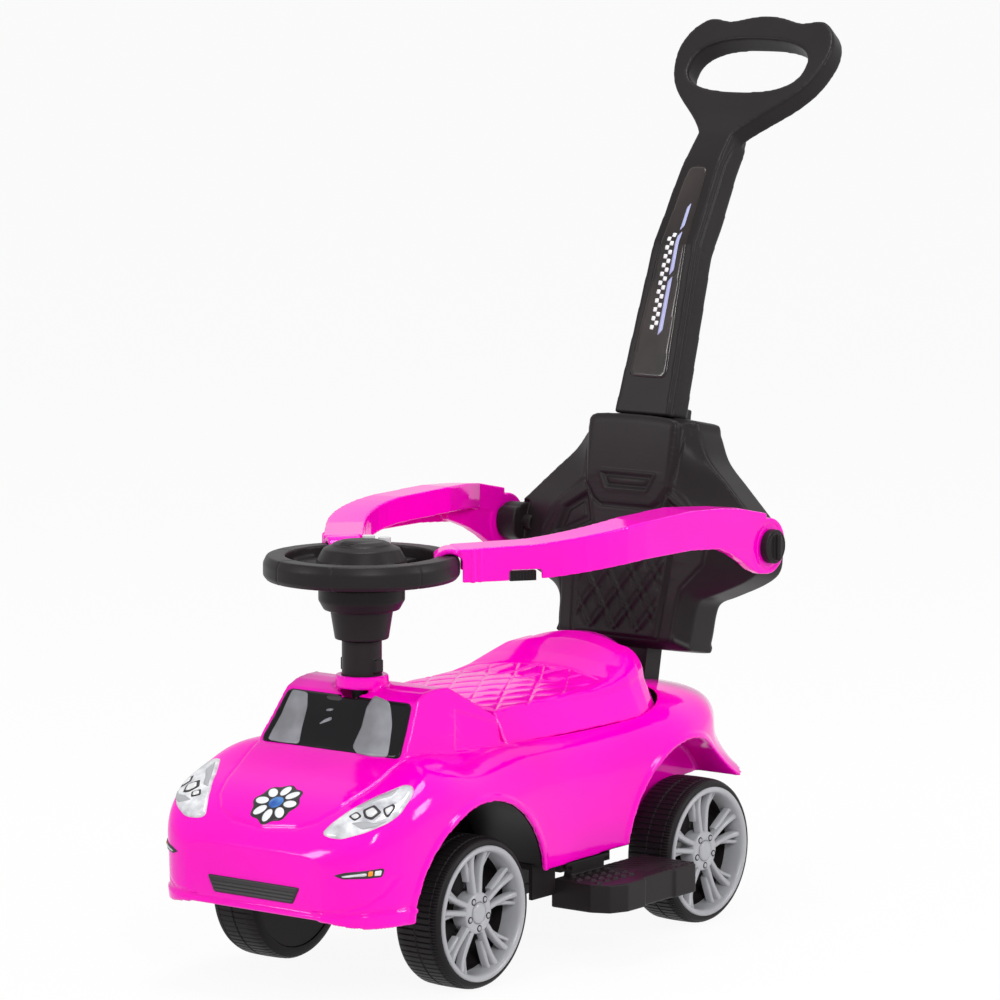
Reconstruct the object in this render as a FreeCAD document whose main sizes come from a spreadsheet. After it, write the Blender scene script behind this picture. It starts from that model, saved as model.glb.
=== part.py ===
import FreeCAD, Part
import math
import os
from types import SimpleNamespace

import Sketcher
from FreeCAD import Placement, Rotation, Vector

# Driving dimensions in millimetres, degrees and counts: alias, value, meaning
SIZES = [
    ("mid_x", 71.6, "wheelbase middle, ahead of the origin"),
    ("wheelbase", 371, "front axle to rear axle"),
    ("running_gap", 0.3, "clearance between pieces that move on each other"),
    ("fit_gap", 0.1, "clearance between pieces that are fixed together"),
    ("tyre_diameter", 145, "tread diameter"),
    ("tyre_width", 50, "tyre, across the tread"),
    ("tyre_shoulder", 5, "bevel at each tread edge"),
    ("rim_seat", 124, "diameter of the rim under the tyre"),
    ("rim_lip", 129, "diameter of the rim's outer lip"),
    ("rim_lip_depth", 2, "lip thickness along the axle"),
    ("rim_wall", 3, "rim barrel wall"),
    ("rim_recess", 8, "spoke face behind the tyre side"),
    ("rim_disc", 6, "spoke thickness"),
    ("hub_diameter", 30, "wheel hub"),
    ("hub_reach", 10, "hub length inside the tyre side"),
    ("spoke_pairs", 5, "paired spokes on a rim"),
    ("window_inner", 9, "opening between spoke pairs, at the hub"),
    ("window_outer", 38, "opening between spoke pairs, at the rim"),
    ("spoke_slot", 6, "slot between the two spokes of a pair"),
    ("cap_diameter", 28, "hub cap"),
    ("cap_height", 6, "hub cap"),
    ("wheel_face", 138, "outer rim face from the middle plane"),
    ("axle_diameter", 10, "rear axle and stub axles"),
    ("kingpin_y", 64, "kingpin axis from the middle plane"),
    ("kingpin_diameter", 12, "kingpin"),
    ("knuckle_radius", 10, "knuckle block"),
    ("knuckle_low", 60, "underside of the knuckle block"),
    ("steering_arm", 34, "crank, knuckle arms and tie-rod offset"),
    ("link_low", 77, "underside of the crank and the knuckle arms"),
    ("link_height", 7, "crank and knuckle arms"),
    ("link_width", 12, "crank, knuckle arms and tie rod"),
    ("link_pin", 6, "tie-rod pins"),
    ("column_ahead", 10, "steering column ahead of the front axle"),
    ("body_width", 284, "body over the wheel arches"),
    ("body_wall", 3, "moulded wall of the body"),
    ("body_crown", 3.2, "squareness of the body's section"),
    ("nose_crown", 6.5, "squareness of the bonnet's section"),
    ("tail_flare", 36, "outward flare of the rear wings at their lower edge"),
    ("front_overhang", 172, "front axle to the nose"),
    ("rear_overhang", 114, "rear axle to the tail"),
    ("bumper_low", 82, "lower edge of the bumper above the ground"),
    ("sill_low", 97, "lower edge of the sills"),
    ("tail_low", 140, "lower edge of the tail"),
    ("belt_height", 151, "widest line of the body"),
    ("nose_height", 146, "top of the bumper"),
    ("deck_height", 229, "crown of the body beside the seat"),
    ("front_arch", 106, "radius of the front wheel arch"),
    ("liner_inner", 56, "inner edge of the front wheel liners from the middle plane"),
    ("rear_arch", 100, "radius of the rear wheel arch"),
    ("rear_arch_ahead", 31, "rear arch centre ahead of the axle"),
    ("rear_arch_rise", 17, "rear arch centre above the axle"),
    ("screen_foot", 59, "windscreen foot ahead of the front axle"),
    ("screen_foot_height", 220, "windscreen foot"),
    ("screen_run", 32, "windscreen head behind its foot"),
    ("screen_head_height", 271, "windscreen head"),
    ("screen_margin", 4, "cowl left bare under and over the windscreen"),
    ("screen_half_foot", 85, "windscreen half width at its foot"),
    ("screen_half_head", 73, "windscreen half width at its head"),
    ("screen_thickness", 2, "windscreen"),
    ("cowl_height", 279, "cowl top"),
    ("brow_run", 14, "cowl's front top edge behind the windscreen head"),
    ("brow_height", 277, "cowl's front top edge"),
    ("cowl_half_head", 76.5, "cowl half width at its top over the windscreen"),
    ("cowl_half_rear", 92, "cowl half width at the top of its rear end"),
    ("cowl_lean", 13.5, "inward lean of the cowl's sides"),
    ("cowl_roof", 48, "cowl's level top behind the windscreen head"),
    ("cowl_rear_height", 244, "cowl walls at the seat"),
    ("dish_half", 78, "half width of the foot dish behind the column"),
    ("dish_floor", 231, "floor of the foot dish"),
    ("collar_diameter", 51, "collar round the column"),
    ("collar_height", 288, "collar top"),
    ("sleeve_diameter", 38, "column sleeve"),
    ("sleeve_top", 321, "column sleeve top"),
    ("rod_diameter", 12, "steering rod"),
    ("wheel_outer", 93, "steering wheel outer radius"),
    ("rim_section", 21, "steering rim, across"),
    ("rim_low", 374, "steering rim underside"),
    ("rim_high", 402, "steering rim top"),
    ("rim_bevel", 7, "steering rim edges"),
    ("hub_radius", 43, "steering hub"),
    ("hub_wall", 4, "steering hub wall"),
    ("hub_floor", 6, "steering hub floor"),
    ("cover_height", 18, "hub cover above the hub"),
    ("spoke_width", 30, "steering spokes"),
    ("shroud_taper", 28, "height of the shroud's tapered foot"),
    ("shroud_low", 25.5, "radius of the shroud's foot"),
    ("shroud_high", 30, "radius of the shroud above its taper"),
    ("shroud_bevel", 9, "bevel under the shroud's flange"),
    ("shroud_wall", 3, "shroud wall"),
    ("button_diameter", 12, "push buttons on the hub"),
    ("button_behind", 23, "push buttons behind the column"),
    ("button_pitch", 19, "push button spacing"),
    ("button_height", 14.5, "push button"),
    ("button_travel", 2, "push button travel, left free under it"),
    ("cell_diameter", 10.5, "battery cell"),
    ("cell_length", 42, "battery cell"),
    ("module_length", 20, "sound module along the car"),
    ("module_width", 32, "sound module across the car"),
    ("module_height", 12, "sound module"),
    ("speaker_diameter", 18, "speaker"),
    ("speaker_height", 5, "speaker"),
    ("seat_front", 87, "seat lid's front edge behind the front axle"),
    ("seat_rear", 22, "seat lid's rear edge behind the rear axle"),
    ("seat_half", 108, "seat lid half width at its foot"),
    ("seat_taper", 9, "narrowing of the seat lid's sides toward its front"),
    ("seat_floor", 214, "ledge that carries the seat lid"),
    ("seat_height", 252, "seat top"),
    ("seat_hump", 286, "raised rear edge of the seat"),
    ("seat_lean", 15, "inward lean of the seat's side walls"),
    ("tub_half", 74, "storage tub half width"),
    ("tub_wall", 2.5, "storage tub wall"),
    ("pin_diameter", 6, "seat hinge pin"),
    ("pin_length", 110, "seat hinge pin"),
    ("ear_from_middle", 33.7, "seat lid's hinge ears from the middle"),
    ("ear_width", 10, "seat lid's hinge ear"),
    ("ear_thickness", 6, "seat lid's hinge ear"),
    ("floor_top", 100, "upper face of the chassis floor"),
    ("floor_thickness", 5, "chassis floor"),
    ("back_height", 232, "seat back along its lean"),
    ("back_half_top", 63, "seat back half width at the top"),
    ("back_half_wing", 154, "seat back half width at the wings"),
    ("back_half_foot", 80, "seat back half width at the foot"),
    ("back_boss", 20, "radius of the guard pivot boss"),
    ("back_foot", 43, "seat back's front face behind the rear axle, at its foot"),
    ("back_low", 262, "foot of the seat back above the ground"),
    ("back_lean", 11, "seat back's lean, degrees"),
    ("back_front", 20, "depth of the seat back's front shell"),
    ("back_rear", 24, "depth of the seat back's rear cover"),
    ("back_wall", 3, "seat back wall"),
    ("back_pad", 18, "seat back's padded face, ahead of its outline"),
    ("pad_half_foot", 71, "padded face half width at the foot"),
    ("pad_half_wing", 105, "padded face half width at the wings"),
    ("pad_half_top", 50, "padded face half width at the top"),
    ("pad_relief", 3, "head pad and quilted panel, proud of the padded face"),
    ("wing_reach", 14, "seat back wings, forward of the panel"),
    ("post_width", 50, "seat back post, across the car"),
    ("post_top", 70, "post's end inside the seat back, above the seat back's foot"),
    ("post_depth", 26, "seat back post, along the car"),
    ("pivot_behind", 56, "guard pivot behind the rear axle"),
    ("pivot_height", 375, "guard pivot above the ground"),
    ("pivot_diameter", 16, "guard pivot shaft"),
    ("arm_face", 168, "guard arm's outer face from the middle plane"),
    ("arm_wall", 3, "guard arm wall"),
    ("arm_width", 38, "guard arm channel"),
    ("arm_height", 42, "guard arm outer wall"),
    ("arm_crest", 16, "rise of the guard arm above its front end"),
    ("arm_bend", 200, "bend radius of the guard arm in plan"),
    ("arm_turn", 37, "inward turn of the guard arm, degrees"),
    ("arm_boss", 28, "radius of the guard arm's rear end"),
    ("arm_boss_depth", 12, "guard arm's rear end, across"),
    ("saddle_gap", 3, "guard arm saddle round the steering rim"),
    ("knob_diameter", 34, "guard knob"),
    ("knob_height", 8, "guard knob"),
    ("latch_length", 26, "guard latch slide"),
    ("latch_travel", 5, "guard latch travel"),
    ("grip_lean", 39, "handle grip's lean, degrees"),
    ("stem_behind", 72, "stem front behind the rear axle, at its foot"),
    ("stem_low", 497, "height where the stem leaves the seat back"),
    ("bend_behind", 128, "stem front behind the rear axle, at its bend"),
    ("bend_height", 664, "stem's bend"),
    ("neck_behind", 203.6, "stem front behind the rear axle, at the neck"),
    ("neck_height", 771.3, "stem's neck"),
    ("stem_half_low", 33, "stem half width at the seat back"),
    ("stem_half_high", 21, "stem half width at the neck"),
    ("stem_depth", 36, "stem thickness"),
    ("panel_low", 530, "foot of the stem's panel"),
    ("panel_high", 742, "head of the stem's panel"),
    ("panel_margin", 7, "stem left bare beside the panel"),
    ("handle_travel", 50, "handle pulled up out of the seat back"),
    ("panel_depth", 1.5, "panel let into the stem"),
    ("tongue_half", 30, "handle tongue half width"),
    ("tongue_depth", 24, "handle tongue thickness"),
    ("tongue_grip", 20, "handle tongue left in the seat back when pulled up"),
    ("grip_half", 94, "handle grip half width"),
    ("grip_length", 150, "handle grip along its lean"),
    ("grip_bar", 23, "handle grip bar width"),
    ("grip_depth", 24, "handle grip thickness"),
    ("foot_front", 140, "footrest's front end behind the front axle"),
    ("foot_length", 150, "footrest along the car"),
    ("foot_inner", 112, "footrest's inner edge from the middle plane"),
    ("foot_outer", 184, "footrest's outer edge from the middle plane"),
    ("foot_top", 80, "footrest tread above the ground"),
    ("foot_depth", 28, "footrest height"),
    ("foot_wall", 3, "footrest wall"),
    ("foot_travel", 60, "footrest travel under the floor"),
    ("slide_thickness", 6, "footrest tongue"),
    ("slide_half", 35, "footrest tongue half width"),
    ("slide_ahead", 28, "footrest tongue ahead of the tread's middle"),
    ("slide_reach", 46, "footrest tongue inside the tread"),
    ("lamp_proud", 1.5, "lamps and grille above the body"),
    ("screw_diameter", 4, "screw shank"),
    ("screw_boss", 10, "boss round each screw of the seat back"),
    ("screw_head", 8, "screw head"),
    ("screw_head_height", 2.5, "screw head"),
]

doc = FreeCAD.newDocument("push_car")
sheet = doc.addObject("Spreadsheet::Sheet", "Sizes")
for row, (alias, value, meaning) in enumerate(SIZES, start=1):
    sheet.set(f"A{row}", str(value))
    sheet.setAlias(f"A{row}", alias)
    sheet.set(f"B{row}", meaning)
doc.recompute()
d = SimpleNamespace(**{alias: float(sheet.get(alias)) for alias, _, _ in SIZES})

# Stations along the car, from the wheelbase middle, and heights that several pieces share
FRONT = d.wheelbase / 2
REAR = -d.wheelbase / 2
COLUMN = FRONT + d.column_ahead
AXLE_Z = d.tyre_diameter / 2
FLOOR_LOW = d.floor_top - d.floor_thickness
SEAT_FRONT = FRONT - d.seat_front
SEAT_REAR = REAR - d.seat_rear
PIVOT_X = REAR - d.pivot_behind
HUB_HIGH = d.rim_high - 6
SHROUD_STEP = d.sleeve_top + 1 + d.shroud_taper

# The same stations as expressions for sheet-bound pieces
FRONT_EX = "Sizes.wheelbase / 2"
REAR_EX = "-Sizes.wheelbase / 2"
COLUMN_EX = "(Sizes.wheelbase / 2 + Sizes.column_ahead)"
AXLE_EX = "Sizes.tyre_diameter / 2"
WHEEL_MID_EX = "(Sizes.wheel_face - Sizes.rim_lip_depth - Sizes.tyre_width / 2)"
SPOKE_FACE_EX = "(Sizes.tyre_width / 2 - Sizes.rim_recess)"
PIVOT_EX = "(-Sizes.wheelbase / 2 - Sizes.pivot_behind)"
FLOOR_LOW_EX = "(Sizes.floor_top - Sizes.floor_thickness)"
SHROUD_LOW_EX = "(Sizes.sleeve_top + 1)"
SHROUD_STEP_EX = "(Sizes.sleeve_top + 1 + Sizes.shroud_taper)"
HUB_LOW_EX = "(Sizes.rim_low - 2)"
HUB_HIGH_EX = "(Sizes.rim_high - 6)"

TURN = {
    "X": Rotation(Vector(0, 1, 0), 90),
    "Y": Rotation(Vector(1, 0, 0), -90),
    "Z": Rotation(),
}
SIDES = (("left", 1), ("right", -1))
SECTION_STEPS = 6
nodes = []
primitive_x = {}


def place(obj, x, y, z):
    """Bind an object's position to expressions."""
    for axis, expression in zip("xyz", (x, y, z)):
        obj.setExpression(f"Placement.Base.{axis}", str(expression))
    primitive_x[obj.Name] = x


def cylinder(radius, height, x, y, z, axis="Z"):
    obj = doc.addObject("Part::Cylinder", "cylinder")
    obj.Placement = Placement(Vector(), TURN[axis])
    obj.setExpression("Radius", str(radius))
    obj.setExpression("Height", str(height))
    place(obj, x, y, z)
    return obj


def cone(radius_low, radius_high, height, x, y, z):
    obj = doc.addObject("Part::Cone", "cone")
    obj.setExpression("Radius1", radius_low)
    obj.setExpression("Radius2", radius_high)
    obj.setExpression("Height", height)
    place(obj, x, y, z)
    return obj


def box(length, width, height, x, y, z):
    obj = doc.addObject("Part::Box", "box")
    for prop, expression in (("Length", length), ("Width", width), ("Height", height)):
        obj.setExpression(prop, str(expression))
    place(obj, x, y, z)
    return obj


def fuse(*shapes):
    obj = doc.addObject("Part::MultiFuse", "fuse")
    obj.Shapes = list(shapes)
    obj.Refine = True
    return obj


def cut(base, *tools):
    obj = doc.addObject("Part::Cut", "cut")
    obj.Base = base
    obj.Tool = tools[0] if len(tools) == 1 else fuse(*tools)
    return obj


def solid(shape):
    """A document object for a shape made with Part's own functions, set in the car's frame."""
    frame = shape.Placement.toMatrix()
    shape = shape.copy()
    shape.Placement = Placement()
    obj = doc.addObject("Part::Feature", "form")
    obj.Shape = shape.transformed(frame, copy=True)
    return obj


def node(obj, name):
    """Name a finished sub-part and set it on the wheelbase middle."""
    obj.Label = name
    if obj.TypeId in ("Part::Box", "Part::Cylinder", "Part::Cone"):
        obj.setExpression("Placement.Base.x", f"Sizes.mid_x + {primitive_x[obj.Name]}")
    else:
        obj.setExpression("Placement.Base.x", "Sizes.mid_x")
    nodes.append(obj)
    return obj


def body_at(name, x, y, z, turn=0):
    """A PartDesign body placed by expressions, turned about the upright axis."""
    body = doc.addObject("PartDesign::Body", "body")
    body.Label = name
    body.Placement = Placement(Vector(), Rotation(Vector(0, 0, 1), turn))
    place(body, f"Sizes.mid_x + {x}", y, z)
    nodes.append(body)
    return body


def origin_feature(body, role):
    return next(item for item in body.Origin.OriginFeatures if item.Role == role)


def polygon_sketch(body, name, plane, points, offset=None, turn=0):
    """A closed outline whose corners are bound to expressions."""
    sketch = body.newObject("Sketcher::SketchObject", name)
    sketch.AttachmentSupport = (origin_feature(body, plane), [""])
    sketch.MapMode = "FlatFace"
    sketch.AttachmentOffset = Placement(Vector(), Rotation(Vector(0, 0, 1), turn))
    if offset:
        sketch.setExpression("AttachmentOffset.Base.z", offset)
    count = len(points)
    start = [Vector(10 * math.cos(k * math.tau / count), 10 * math.sin(k * math.tau / count), 0)
             for k in range(count)]
    for k in range(count):
        sketch.addGeometry(Part.LineSegment(start[k], start[(k + 1) % count]))
    for k in range(count):
        sketch.addConstraint(Sketcher.Constraint("Coincident", k, 2, (k + 1) % count, 1))
    for k, corner in enumerate(points):
        for kind, expression in zip(("DistanceX", "DistanceY"), corner):
            value = start[k].x if kind == "DistanceX" else start[k].y
            index = sketch.addConstraint(Sketcher.Constraint(kind, k, 1, value))
            sketch.setExpression(f"Constraints[{index}]", expression)
    return sketch


def revolve(body, sketch):
    feature = body.newObject("PartDesign::Revolution", "turned")
    feature.Profile = sketch
    feature.ReferenceAxis = (sketch, ["V_Axis"])
    feature.Angle = 360
    return feature


def polygon(points):
    return Part.Face(Part.makePolygon(list(points) + [points[0]]))


def prism(points, direction):
    return polygon(points).extrude(direction)


def mirrored(shape):
    return shape.mirror(Vector(), Vector(0, 1, 0))


# Body form: crowned sections along the car
def hull_stations():
    """x, half width, flare, lower edge, widest height, crown and squareness of each section, tail to nose."""
    half = d.body_width / 2
    nose = FRONT + d.front_overhang
    tail = REAR - d.rear_overhang
    bumper, sill, rear_low = d.bumper_low, d.sill_low, d.tail_low
    belt, deck, brow = d.belt_height, d.deck_height, d.nose_height
    flare, soft, square = d.tail_flare, d.body_crown, d.nose_crown
    return [
        (tail, 0.30 * half, 0.55 * flare, rear_low + 10, belt + 27, deck - 27, soft),
        (tail + 14, 0.47 * half, 0.85 * flare, rear_low + 5, belt + 28, deck - 14, soft),
        (tail + 32, 0.60 * half, flare, rear_low + 2, belt + 29, deck - 6, soft),
        (tail + 52, 0.70 * half, flare, rear_low, belt + 29, deck - 2, soft),
        (tail + 72, 0.79 * half, 0.8 * flare, rear_low - 1, belt + 27, deck + 1, soft),
        (tail + 100, 0.875 * half, 0.5 * flare, rear_low - 8, belt + 22, deck + 3, soft),
        (REAR + 25, 0.955 * half, 0.17 * flare, sill + 10, belt + 11, deck + 5, soft),
        (REAR + 105, 0.955 * half, 0, sill + 2, belt + 3, deck + 2, soft),
        (0, 0.93 * half, 0, sill, belt + 1, deck, soft),
        (FRONT - 85, 0.95 * half, 0, sill - 2, belt + 1, deck, soft),
        (FRONT, half, 0, bumper + 8, belt - 1, deck - 2, soft),
        (FRONT + 60, half, 0, bumper + 3, belt - 6, deck - 7, (soft + square) / 2),
        (nose - 82, 0.985 * half, 0, bumper + 1, belt - 12, brow + 60, square),
        (nose - 48, 0.95 * half, 0, bumper, belt - 18, brow + 45, square),
        (nose - 26, 0.88 * half, 0, bumper, belt - 21, brow + 31, square),
        (nose - 10, 0.77 * half, 0, bumper + 2, belt - 26, brow + 15, square),
        (nose, 0.58 * half, 0, bumper + 7, belt - 33, brow, square),
    ]


def hull_section(x, half, flare, low, belt, top, crown, drop):
    side = [(half + flare - d.body_wall, low),
            (half + 0.35 * flare - d.body_wall / 3, low + 0.45 * (belt - low)), (half, belt)]
    for step in range(1, SECTION_STEPS):
        angle = math.pi / 2 * step / SECTION_STEPS
        across = math.cos(angle) ** (2 / crown)
        rise = math.sin(angle) ** (2 / crown)
        side.append((half * across, belt + (top - belt) * rise))
    points = [Vector(x, y, z) for y, z in side]
    points.append(Vector(x, 0, top))
    points += [Vector(x, -y, z) for y, z in reversed(side)]
    curve = Part.BSplineCurve()
    curve.interpolate(points)
    ends = [points[-1], points[0]]
    if drop:
        down = Vector(0, 0, -drop)
        ends = [points[-1], points[-1] + down, points[0] + down, points[0]]
    return Part.Wire([curve.toShape()] + [Part.makeLine(a, b) for a, b in zip(ends, ends[1:])])


def hull(grow=0.0, drop=0.0):
    """The body's outer form, grown outward by grow and lengthened downward by drop."""
    stations = hull_stations()
    middle = (stations[0][0] + stations[-1][0]) / 2
    stretch = 1 + 2 * grow / (stations[-1][0] - stations[0][0])
    wires = []
    for x, half, flare, low, belt, top, crown in stations:
        spot = middle + (x - middle) * stretch
        wires.append(hull_section(spot, half + grow, flare, low, belt, top + grow, crown, drop))
    return Part.makeLoft(wires, True, False)


def cowl(inset=0.0):
    """The raised cowl: a side profile cut to side planes that lean in and widen to the rear."""
    foot = FRONT + d.screen_foot - inset
    head = foot - d.screen_run
    rear = SEAT_FRONT + 2 * d.body_wall + inset
    base = d.dish_floor - 30
    top = d.cowl_height - inset
    profile = [(foot + 10, base), (foot, d.screen_foot_height - inset), (head, d.screen_head_height - inset),
               (head - d.brow_run, d.brow_height - inset), (head - 2 * d.brow_run, top),
               (head - d.cowl_roof, top), (rear, d.cowl_rear_height - inset), (rear, base)]
    reach = Vector(0, d.body_width / 2, 0)
    block = prism([Vector(x, 0, z) - reach for x, z in profile], reach * 2)
    lean = math.tan(math.radians(d.cowl_lean))
    rear_gain = d.cowl_half_rear - d.cowl_half_head - lean * (d.cowl_height - d.cowl_rear_height)
    widen = rear_gain / (head - rear)
    ends = []
    for x in (rear - 10, foot + 20):
        half = d.cowl_half_head + widen * (head - x) - inset
        low, high = half + lean * (d.cowl_height - base), half - lean * 20
        corners = [(-low, base), (low, base), (high, d.cowl_height + 20), (-high, d.cowl_height + 20)]
        ends.append(Part.makePolygon([Vector(x, y, z) for y, z in corners + corners[:1]]))
    return block.common(Part.makeLoft(ends, True, True))


def seat_outline(grow):
    """Plan of the seat lid's foot: straight front and sides, rounded rear."""
    half = d.seat_half + grow
    front = SEAT_FRONT + grow
    rear = SEAT_REAR - grow
    round_start = rear + 1.05 * half
    front_half = half - d.seat_taper
    corners = [Vector(round_start, half, 0), Vector(front, front_half, 0),
               Vector(front, -front_half, 0), Vector(round_start, -half, 0)]
    arc = Part.Arc(corners[3], Vector(rear, 0, 0), corners[0]).toShape()
    return Part.Wire([Part.makeLine(corners[k], corners[k + 1]) for k in range(3)] + [arc])


def slab(wire, low, high):
    face = Part.Face(wire)
    face.translate(Vector(0, 0, low))
    return face.extrude(Vector(0, 0, high - low))


def room_above(height):
    """A block that holds all of the car over a height."""
    reach = 3 * d.body_width
    return Part.makeBox(2 * reach, 2 * reach, reach, Vector(-reach, -reach, height))


def arch_cutter(x, z, radius, y_from, y_to):
    return Part.makeCylinder(radius, y_to - y_from, Vector(x, y_from, z), Vector(0, 1, 0))


HULL = hull()
HULL_INNER = hull(-d.body_wall, d.belt_height - d.sill_low)
REAR_ARCH = (REAR + d.rear_arch_ahead, AXLE_Z + d.rear_arch_rise)
WELL_INNER = d.wheel_face - d.rim_lip_depth - d.tyre_width - 2 * d.body_wall
BODY_REACH = d.body_width / 2 + 20
SILL_TABS = [(x, side) for x in (FRONT - 128, REAR + 135) for side in (1, -1)]
FLOOR_HALF = 0.93 * d.body_width / 2 - 2 * d.body_wall - 8
TAB_Y = FLOOR_HALF - 10
TUB_FRONT = SEAT_FRONT - 30
TUB_REAR = SEAT_REAR + 60
HINGE_BARREL = d.pin_diameter / 2 + 3
HINGE_X = SEAT_FRONT + HINGE_BARREL + 2 * d.running_gap
HINGE_Z = d.cowl_rear_height + 2


def post_block(grow, low):
    """The seat back's post in the leaning frame of the seat back."""
    u_low = (low - d.back_low) / math.cos(math.radians(d.back_lean))
    block = Part.makeBox(d.post_depth + 2 * grow, d.post_width + 2 * grow, d.post_top - u_low,
                         Vector(-d.back_front - d.post_depth / 2 - grow, -d.post_width / 2 - grow, u_low))
    block.Placement = back_frame()
    return block


def back_frame():
    """Leaning frame of the seat back: x forward off its face, z up along it."""
    return Placement(Vector(REAR - d.back_foot, 0, d.back_low),
                     Rotation(Vector(0, 1, 0), -d.back_lean))


def body_shell():
    """Hollow body with its cowl, collar, seat ledge, rear wheel wells, screw tabs and hinge lugs."""
    wall = d.body_wall
    collar_low = d.cowl_height - wall
    collar = Part.makeCylinder(d.collar_diameter / 2, d.collar_height - collar_low,
                               Vector(COLUMN, 0, collar_low))
    dish_rear = SEAT_FRONT - 2
    dish_front = COLUMN - d.collar_diameter / 2 - wall
    dish = Part.makeBox(dish_front - dish_rear, 2 * d.dish_half, d.cowl_height,
                        Vector(dish_rear, -d.dish_half, d.dish_floor))
    tray = Part.makeBox(dish_front + wall - dish_rear, 2 * (d.dish_half + wall), d.cowl_height,
                        Vector(dish_rear, -d.dish_half - wall, d.dish_floor - wall))
    seat_room = slab(seat_outline(2 * d.running_gap), d.seat_floor, d.cowl_height)
    hollow = cowl(wall).cut(tray)
    shell = HULL.fuse([cowl(), collar]).cut([HULL_INNER, hollow, dish, seat_room])

    added = [slab(seat_outline(wall), d.seat_floor - wall, d.seat_floor)]
    removed = [Part.makeBox(TUB_FRONT - TUB_REAR, 2 * d.tub_half, 40,
                            Vector(TUB_REAR, -d.tub_half, d.seat_floor - 20))]
    arch_x, arch_z = REAR_ARCH
    above = room_above(d.sill_low + 3)
    for side in (1, -1):
        low, high = sorted((side * WELL_INNER, side * BODY_REACH))
        added.append(arch_cutter(arch_x, arch_z, d.rear_arch + wall, low, high).common(above))
        removed.append(arch_cutter(FRONT, AXLE_Z, d.front_arch, low, high))
        low, high = sorted((side * (WELL_INNER + wall), side * BODY_REACH))
        removed.append(arch_cutter(arch_x, arch_z, d.rear_arch, low, high))
    for x, side in SILL_TABS:
        added.append(Part.makeBox(16, 30, 10, Vector(x - 8, side * (FLOOR_HALF - 3) - 15, d.floor_top)))
        removed.append(Part.makeCylinder(d.screw_diameter / 2 + d.fit_gap, 40,
                                         Vector(x, side * TAB_Y, d.floor_top - 20)))
    added = [form.common(HULL) for form in added]
    for y in (44, -44):
        added.append(Part.makeBox(2 * HINGE_BARREL, 10, HINGE_Z - d.dish_floor,
                                  Vector(HINGE_X - HINGE_BARREL, y - 5, d.dish_floor)))
        added.append(Part.makeCylinder(HINGE_BARREL, 10, Vector(HINGE_X, y - 5, HINGE_Z), Vector(0, 1, 0)))
    removed.append(Part.makeCylinder(d.sleeve_diameter / 2 + d.fit_gap, 120, Vector(COLUMN, 0, d.dish_floor)))
    removed.append(Part.makeCylinder(d.pin_diameter / 2 + d.fit_gap, 160, Vector(HINGE_X, -80, HINGE_Z),
                                     Vector(0, 1, 0)))
    removed.append(post_block(d.fit_gap, d.floor_top))
    return shell.fuse(added).cut(removed)


# Lamps and grille: patches of the body's own form, standing a little proud of it
def patch(corners, normal):
    """The body's skin inside an outline seen along normal."""
    normal = Vector(normal).normalize()
    base = corners[0]
    flat = [corner - normal * (corner - base).dot(normal) for corner in corners]
    block = prism([corner - normal * 45 for corner in flat], normal * 90)
    return block.common(HULL_PROUD).cut(HULL_SEAT)


def ahead(x, y, z):
    """A point given from the front axle."""
    return Vector(FRONT + x, y, z)


HEADLAMP = [ahead(160, 81, 164), ahead(133, 90, 188), ahead(110, 104, 200),
            ahead(88, 126, 203), ahead(106, 132, 184), ahead(137, 114, 166)]
FOG_LAMP = [ahead(168, 92, 127), ahead(168, 92, 134), ahead(141, 130, 141), ahead(141, 130, 130)]
GRILLE = [ahead(172, -47, 100), ahead(172, 47, 100), ahead(172, 55, 116), ahead(172, -55, 116)]


def windscreen_panel():
    """A plate on the cowl's leaning front."""
    body = body_at("windscreen_panel", f"{FRONT_EX} + Sizes.screen_foot", "0", "Sizes.screen_foot_height")
    body.Placement.Rotation = Rotation(Vector(0, -1, 0), 30)
    body.setExpression("Placement.Rotation.Angle",
                       "atan(Sizes.screen_run / (Sizes.screen_head_height - Sizes.screen_foot_height))")
    low = "Sizes.screen_margin"
    high = "Sizes.screen_head_height - Sizes.screen_foot_height + Sizes.screen_margin"
    foot, head = "Sizes.screen_half_foot", "Sizes.screen_half_head"
    outline = polygon_sketch(body, "screen_outline", "YZ_Plane", [
        (f"-({foot})", low), (foot, low), (head, high), (f"-({head})", high)])
    pad = body.newObject("PartDesign::Pad", "screen")
    pad.Profile = outline
    pad.setExpression("Length", "Sizes.screen_thickness")


def wheel_liners():
    """Curved liners over the front wheels, standing on the chassis floor."""
    room = hull(-d.body_wall - d.running_gap, d.belt_height - d.sill_low)
    above = room_above(d.floor_top)
    liners = []
    for side in (1, -1):
        low, high = sorted((side * d.liner_inner, side * BODY_REACH))
        ring = arch_cutter(FRONT, AXLE_Z, d.front_arch + d.body_wall, low, high)
        ring = ring.cut(arch_cutter(FRONT, AXLE_Z, d.front_arch, low, high))
        liners.append(ring.common(above).common(room))
    return Part.makeCompound(liners)


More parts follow.
